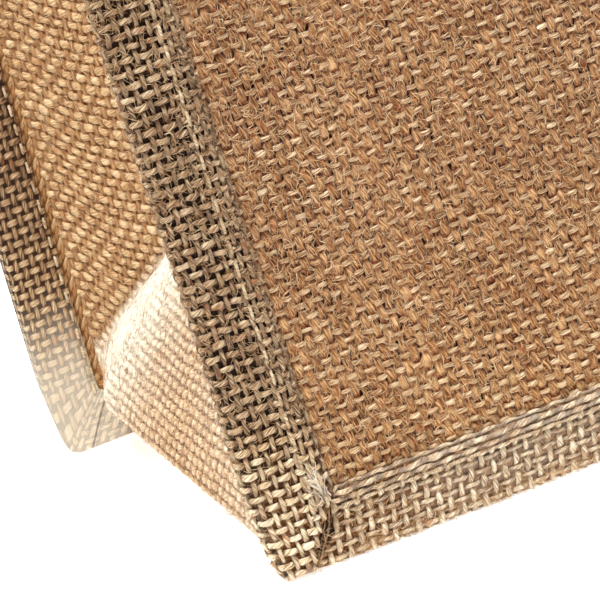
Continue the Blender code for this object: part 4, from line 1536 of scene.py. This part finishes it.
def mitre_fibres():
    """Fibres drawn down the slit, and the frayed tuft at its top."""
    tubes, count = Tubes(4), 4
    share = np.linspace(0, 1, 9)
    heights = (0.0182 + random.normal(0, 0.0012, (count, 1))) * (1 - share) + 0.0012 * share
    within = np.array([[0.15], [0.42], [0.60], [1.0]])
    across = -SEAM_X - mitre_reach(heights) + slit_width(heights) * within
    across = across + 0.00015 * np.sin(7 * share + random.uniform(0, 7, (count, 1)))
    lift = 0.0019 + random.uniform(0, 0.0006, (count, 1)) + 0 * share
    lines = on_flange(across, heights, -1, -lift)
    thick = random.uniform(0.00005, 0.00009, (count, 1)) * (1 - 0.3 * share)
    tubes.add(lines, np.broadcast_to([0.0, -1.0, 0.0], lines.shape), thick, thick,
              random.uniform(0, 1, (count, 1)))
    strands = tubes.piece("mitre_strands", loose, "jute_tape")
    tubes, count = Tubes(4), 46
    start = on_flange(-0.1830 + random.normal(0, 0.0005, count),
                      0.0172 + random.normal(0, 0.0012, count), -1, -0.0034)
    standing_fibres(tubes, start, np.array((-0.50, -0.10, 0.85)),
                    lengths_of(count, 9.0, 0.0005, 0.001), spots(count, 0.00008, 0.00014),
                    0.11, 0.2, rings=7)
    frayed = yarn_material("frayed_fibre", TUFT, 0.00003)
    return [strands, tubes.piece("mitre_tuft", frayed, "jute_tape")]


mitre_pieces = [mitre_slit(), *mitre_fibres()]

# ---------------------------------------------------------------- stitches

STITCH_PITCH = 0.0052
STITCH_REACH = 0.0040      # of the bindings' stitch line outside the seam
STITCH_DROP = 0.005        # of the hems' stitch line above the hem's lower edge
TAPE_FACE = 0.0029         # height of the front tape's stitched face above the mid-surface


def sew(tubes, surface, low, high):
    """A row of stitches. surface gives points and outward normals along it."""
    count = round((high - low) / STITCH_PITCH)
    middle = low + (np.arange(count)[:, None] + 0.5) * (high - low) / count
    share = np.linspace(-1, 1, 5)
    points, normals = surface(middle + 0.0020 * share + random.normal(0, 0.0001, (count, 1)))
    height = 0.0002 - 0.0009 * np.abs(share) ** 3 + random.normal(0, 0.00004, (count, 1))
    tubes.add(points + normals * height[..., None], normals, 0.00040, 0.00034,
              random.uniform(0.2, 0.9, (count, 1)), rough=0.08)


def raised_line(x, z, face, inward):
    """Points on a line over a panel, and the direction away from its cloth."""
    near, far = (on_flange(x, z, face, inward + np.copysign(step, inward)) for step in (0, 0.001))
    return near, (far - near) / 0.001


def binding_stitches(name, face, material):
    """The stitches on both faces of a binding, up its sides and along its bottom."""
    tubes = Tubes(5)
    for inward in (-TAPE_FACE, BACK_TAPE_OFFSET + TAPE / 2):
        for hand in (-1, 1):
            def upright_line(run, hand=hand, inward=inward):
                proud = mitre_rise(run) if inward < 0 else 0.0
                x = hand * (SEAM_X + STITCH_REACH) + 0 * run
                return raised_line(x, run, face, inward + math.copysign(1, inward) * proud)
            sew(tubes, upright_line, FLANGE - STITCH_REACH, HEIGHT - 0.002)

        def level_line(run, inward=inward):
            return raised_line(run, FLANGE - STITCH_REACH + 0 * run, face, inward)
        sew(tubes, level_line, -SEAM_X + 0.002, SEAM_X - 0.002)
    return tubes.piece(name, material, "jute_tape")


def hem_stitches(name, face, material):
    """The top hem's stitches on both faces of a panel."""
    tubes = Tubes(5)
    for inward in (-CLOTH / 2, 1.5 * CLOTH):
        def hem_line(run, inward=inward):
            return raised_line(run, HEIGHT - HEM + STITCH_DROP + 0 * run, face, inward)
        sew(tubes, hem_line, -SEAM_X + 0.010, SEAM_X - 0.010)
    return tubes.piece(name, material, "burlap_panel")


def gusset_hem_stitches(material):
    """The stitches on both faces of the gusset's two hems."""
    tubes = Tubes(5)
    for hand in (-1, 1):
        for out in (CLOTH / 2, -1.5 * CLOTH):
            def hem_line(run, hand=hand, out=out):
                points, normals = gusset.at(run, hand * (SEAM_HALF - HEM + STITCH_DROP) + 0 * run)
                return points + normals * out, normals * math.copysign(1, out)
            for low, high in ((0.006, STRIP_HALF - 0.003),
                              (STRIP_HALF + 0.003, 2 * STRIP_HALF - 0.006)):
                sew(tubes, hem_line, low, high)
    return tubes.piece("gusset_hem_stitches", material, "burlap_gusset")


sewn = yarn_material("sewing_thread", STITCH, 0.0001)
front_stitches = binding_stitches("front_binding_stitches", -1, sewn)
back_stitches = binding_stitches("back_binding_stitches", 1, sewn)
front_hem = hem_stitches("front_hem_stitches", -1, sewn)
back_hem = hem_stitches("back_hem_stitches", 1, sewn)
side_hem = gusset_hem_stitches(sewn)

# ---------------------------------------------------------------- floor, light and camera

floor_grid = bmesh.new()
bmesh.ops.create_grid(floor_grid, x_segments=1, y_segments=1, size=4.0)
paper, paper_shader, _ = principled("white_paper", roughness=0.8, specular=0.1, sheen=0.0)
paper_shader.inputs["Base Color"].default_value = (0.86, 0.85, 0.83, 1.0)
paper_shader.inputs["Emission Color"].default_value = (1.0, 0.985, 0.96, 1.0)
paper_shader.inputs["Emission Strength"].default_value = 0.75
floor = new_object("floor", mesh_of("floor", floor_grid), paper)

world = bpy.data.worlds.new("studio")
bpy.context.scene.world = world
world.use_nodes = True
for setting, value in (("Color", (1.0, 1.0, 1.0, 1.0)), ("Strength", 0.05)):
    world.node_tree.nodes["Background"].inputs[setting].default_value = value


def placed(name, data, axes, place):
    """A lamp or camera at a place, with its three axes."""
    made = bpy.data.objects.new(name, data)
    rows = [[*row, spot] for row, spot in zip(np.stack(axes, axis=1), place)]
    made.matrix_world = Matrix(rows + [[0, 0, 0, 1]])
    bpy.context.scene.collection.objects.link(made)
    return made


def softbox(name, place, aim, size, power):
    light = bpy.data.lights.new(name, "AREA")
    light.shape = "SQUARE"
    light.size = size
    light.energy = power
    back = np.array(place) - np.array(aim)
    back /= np.linalg.norm(back)
    right = np.cross((0.0, 0.0, 1.0), back)
    right /= np.linalg.norm(right)
    placed(name, light, (right, np.cross(back, right), back), place)


softbox("key", (-0.75, 1.05, 0.95), (-0.18, 0.0, 0.05), 0.5, 10.5)
softbox("top", (-0.45, -0.40, 1.30), (-0.15, 0.0, 0.05), 0.22, 25.0)
softbox("fill", (-0.1, -1.6, 0.6), (-0.15, 0.0, 0.05), 0.8, 3.0)

lens = bpy.data.cameras.new("camera")
lens.sensor_width = SENSOR
lens.lens = CAMERA_LENS
lens.clip_start = 0.05
bpy.context.scene.camera = placed("camera", lens, (CAMERA_RIGHT, CAMERA_UP, CAMERA_BACK),
                                  CAMERA_PLACE)
bpy.context.scene.view_settings.view_transform = "Standard"
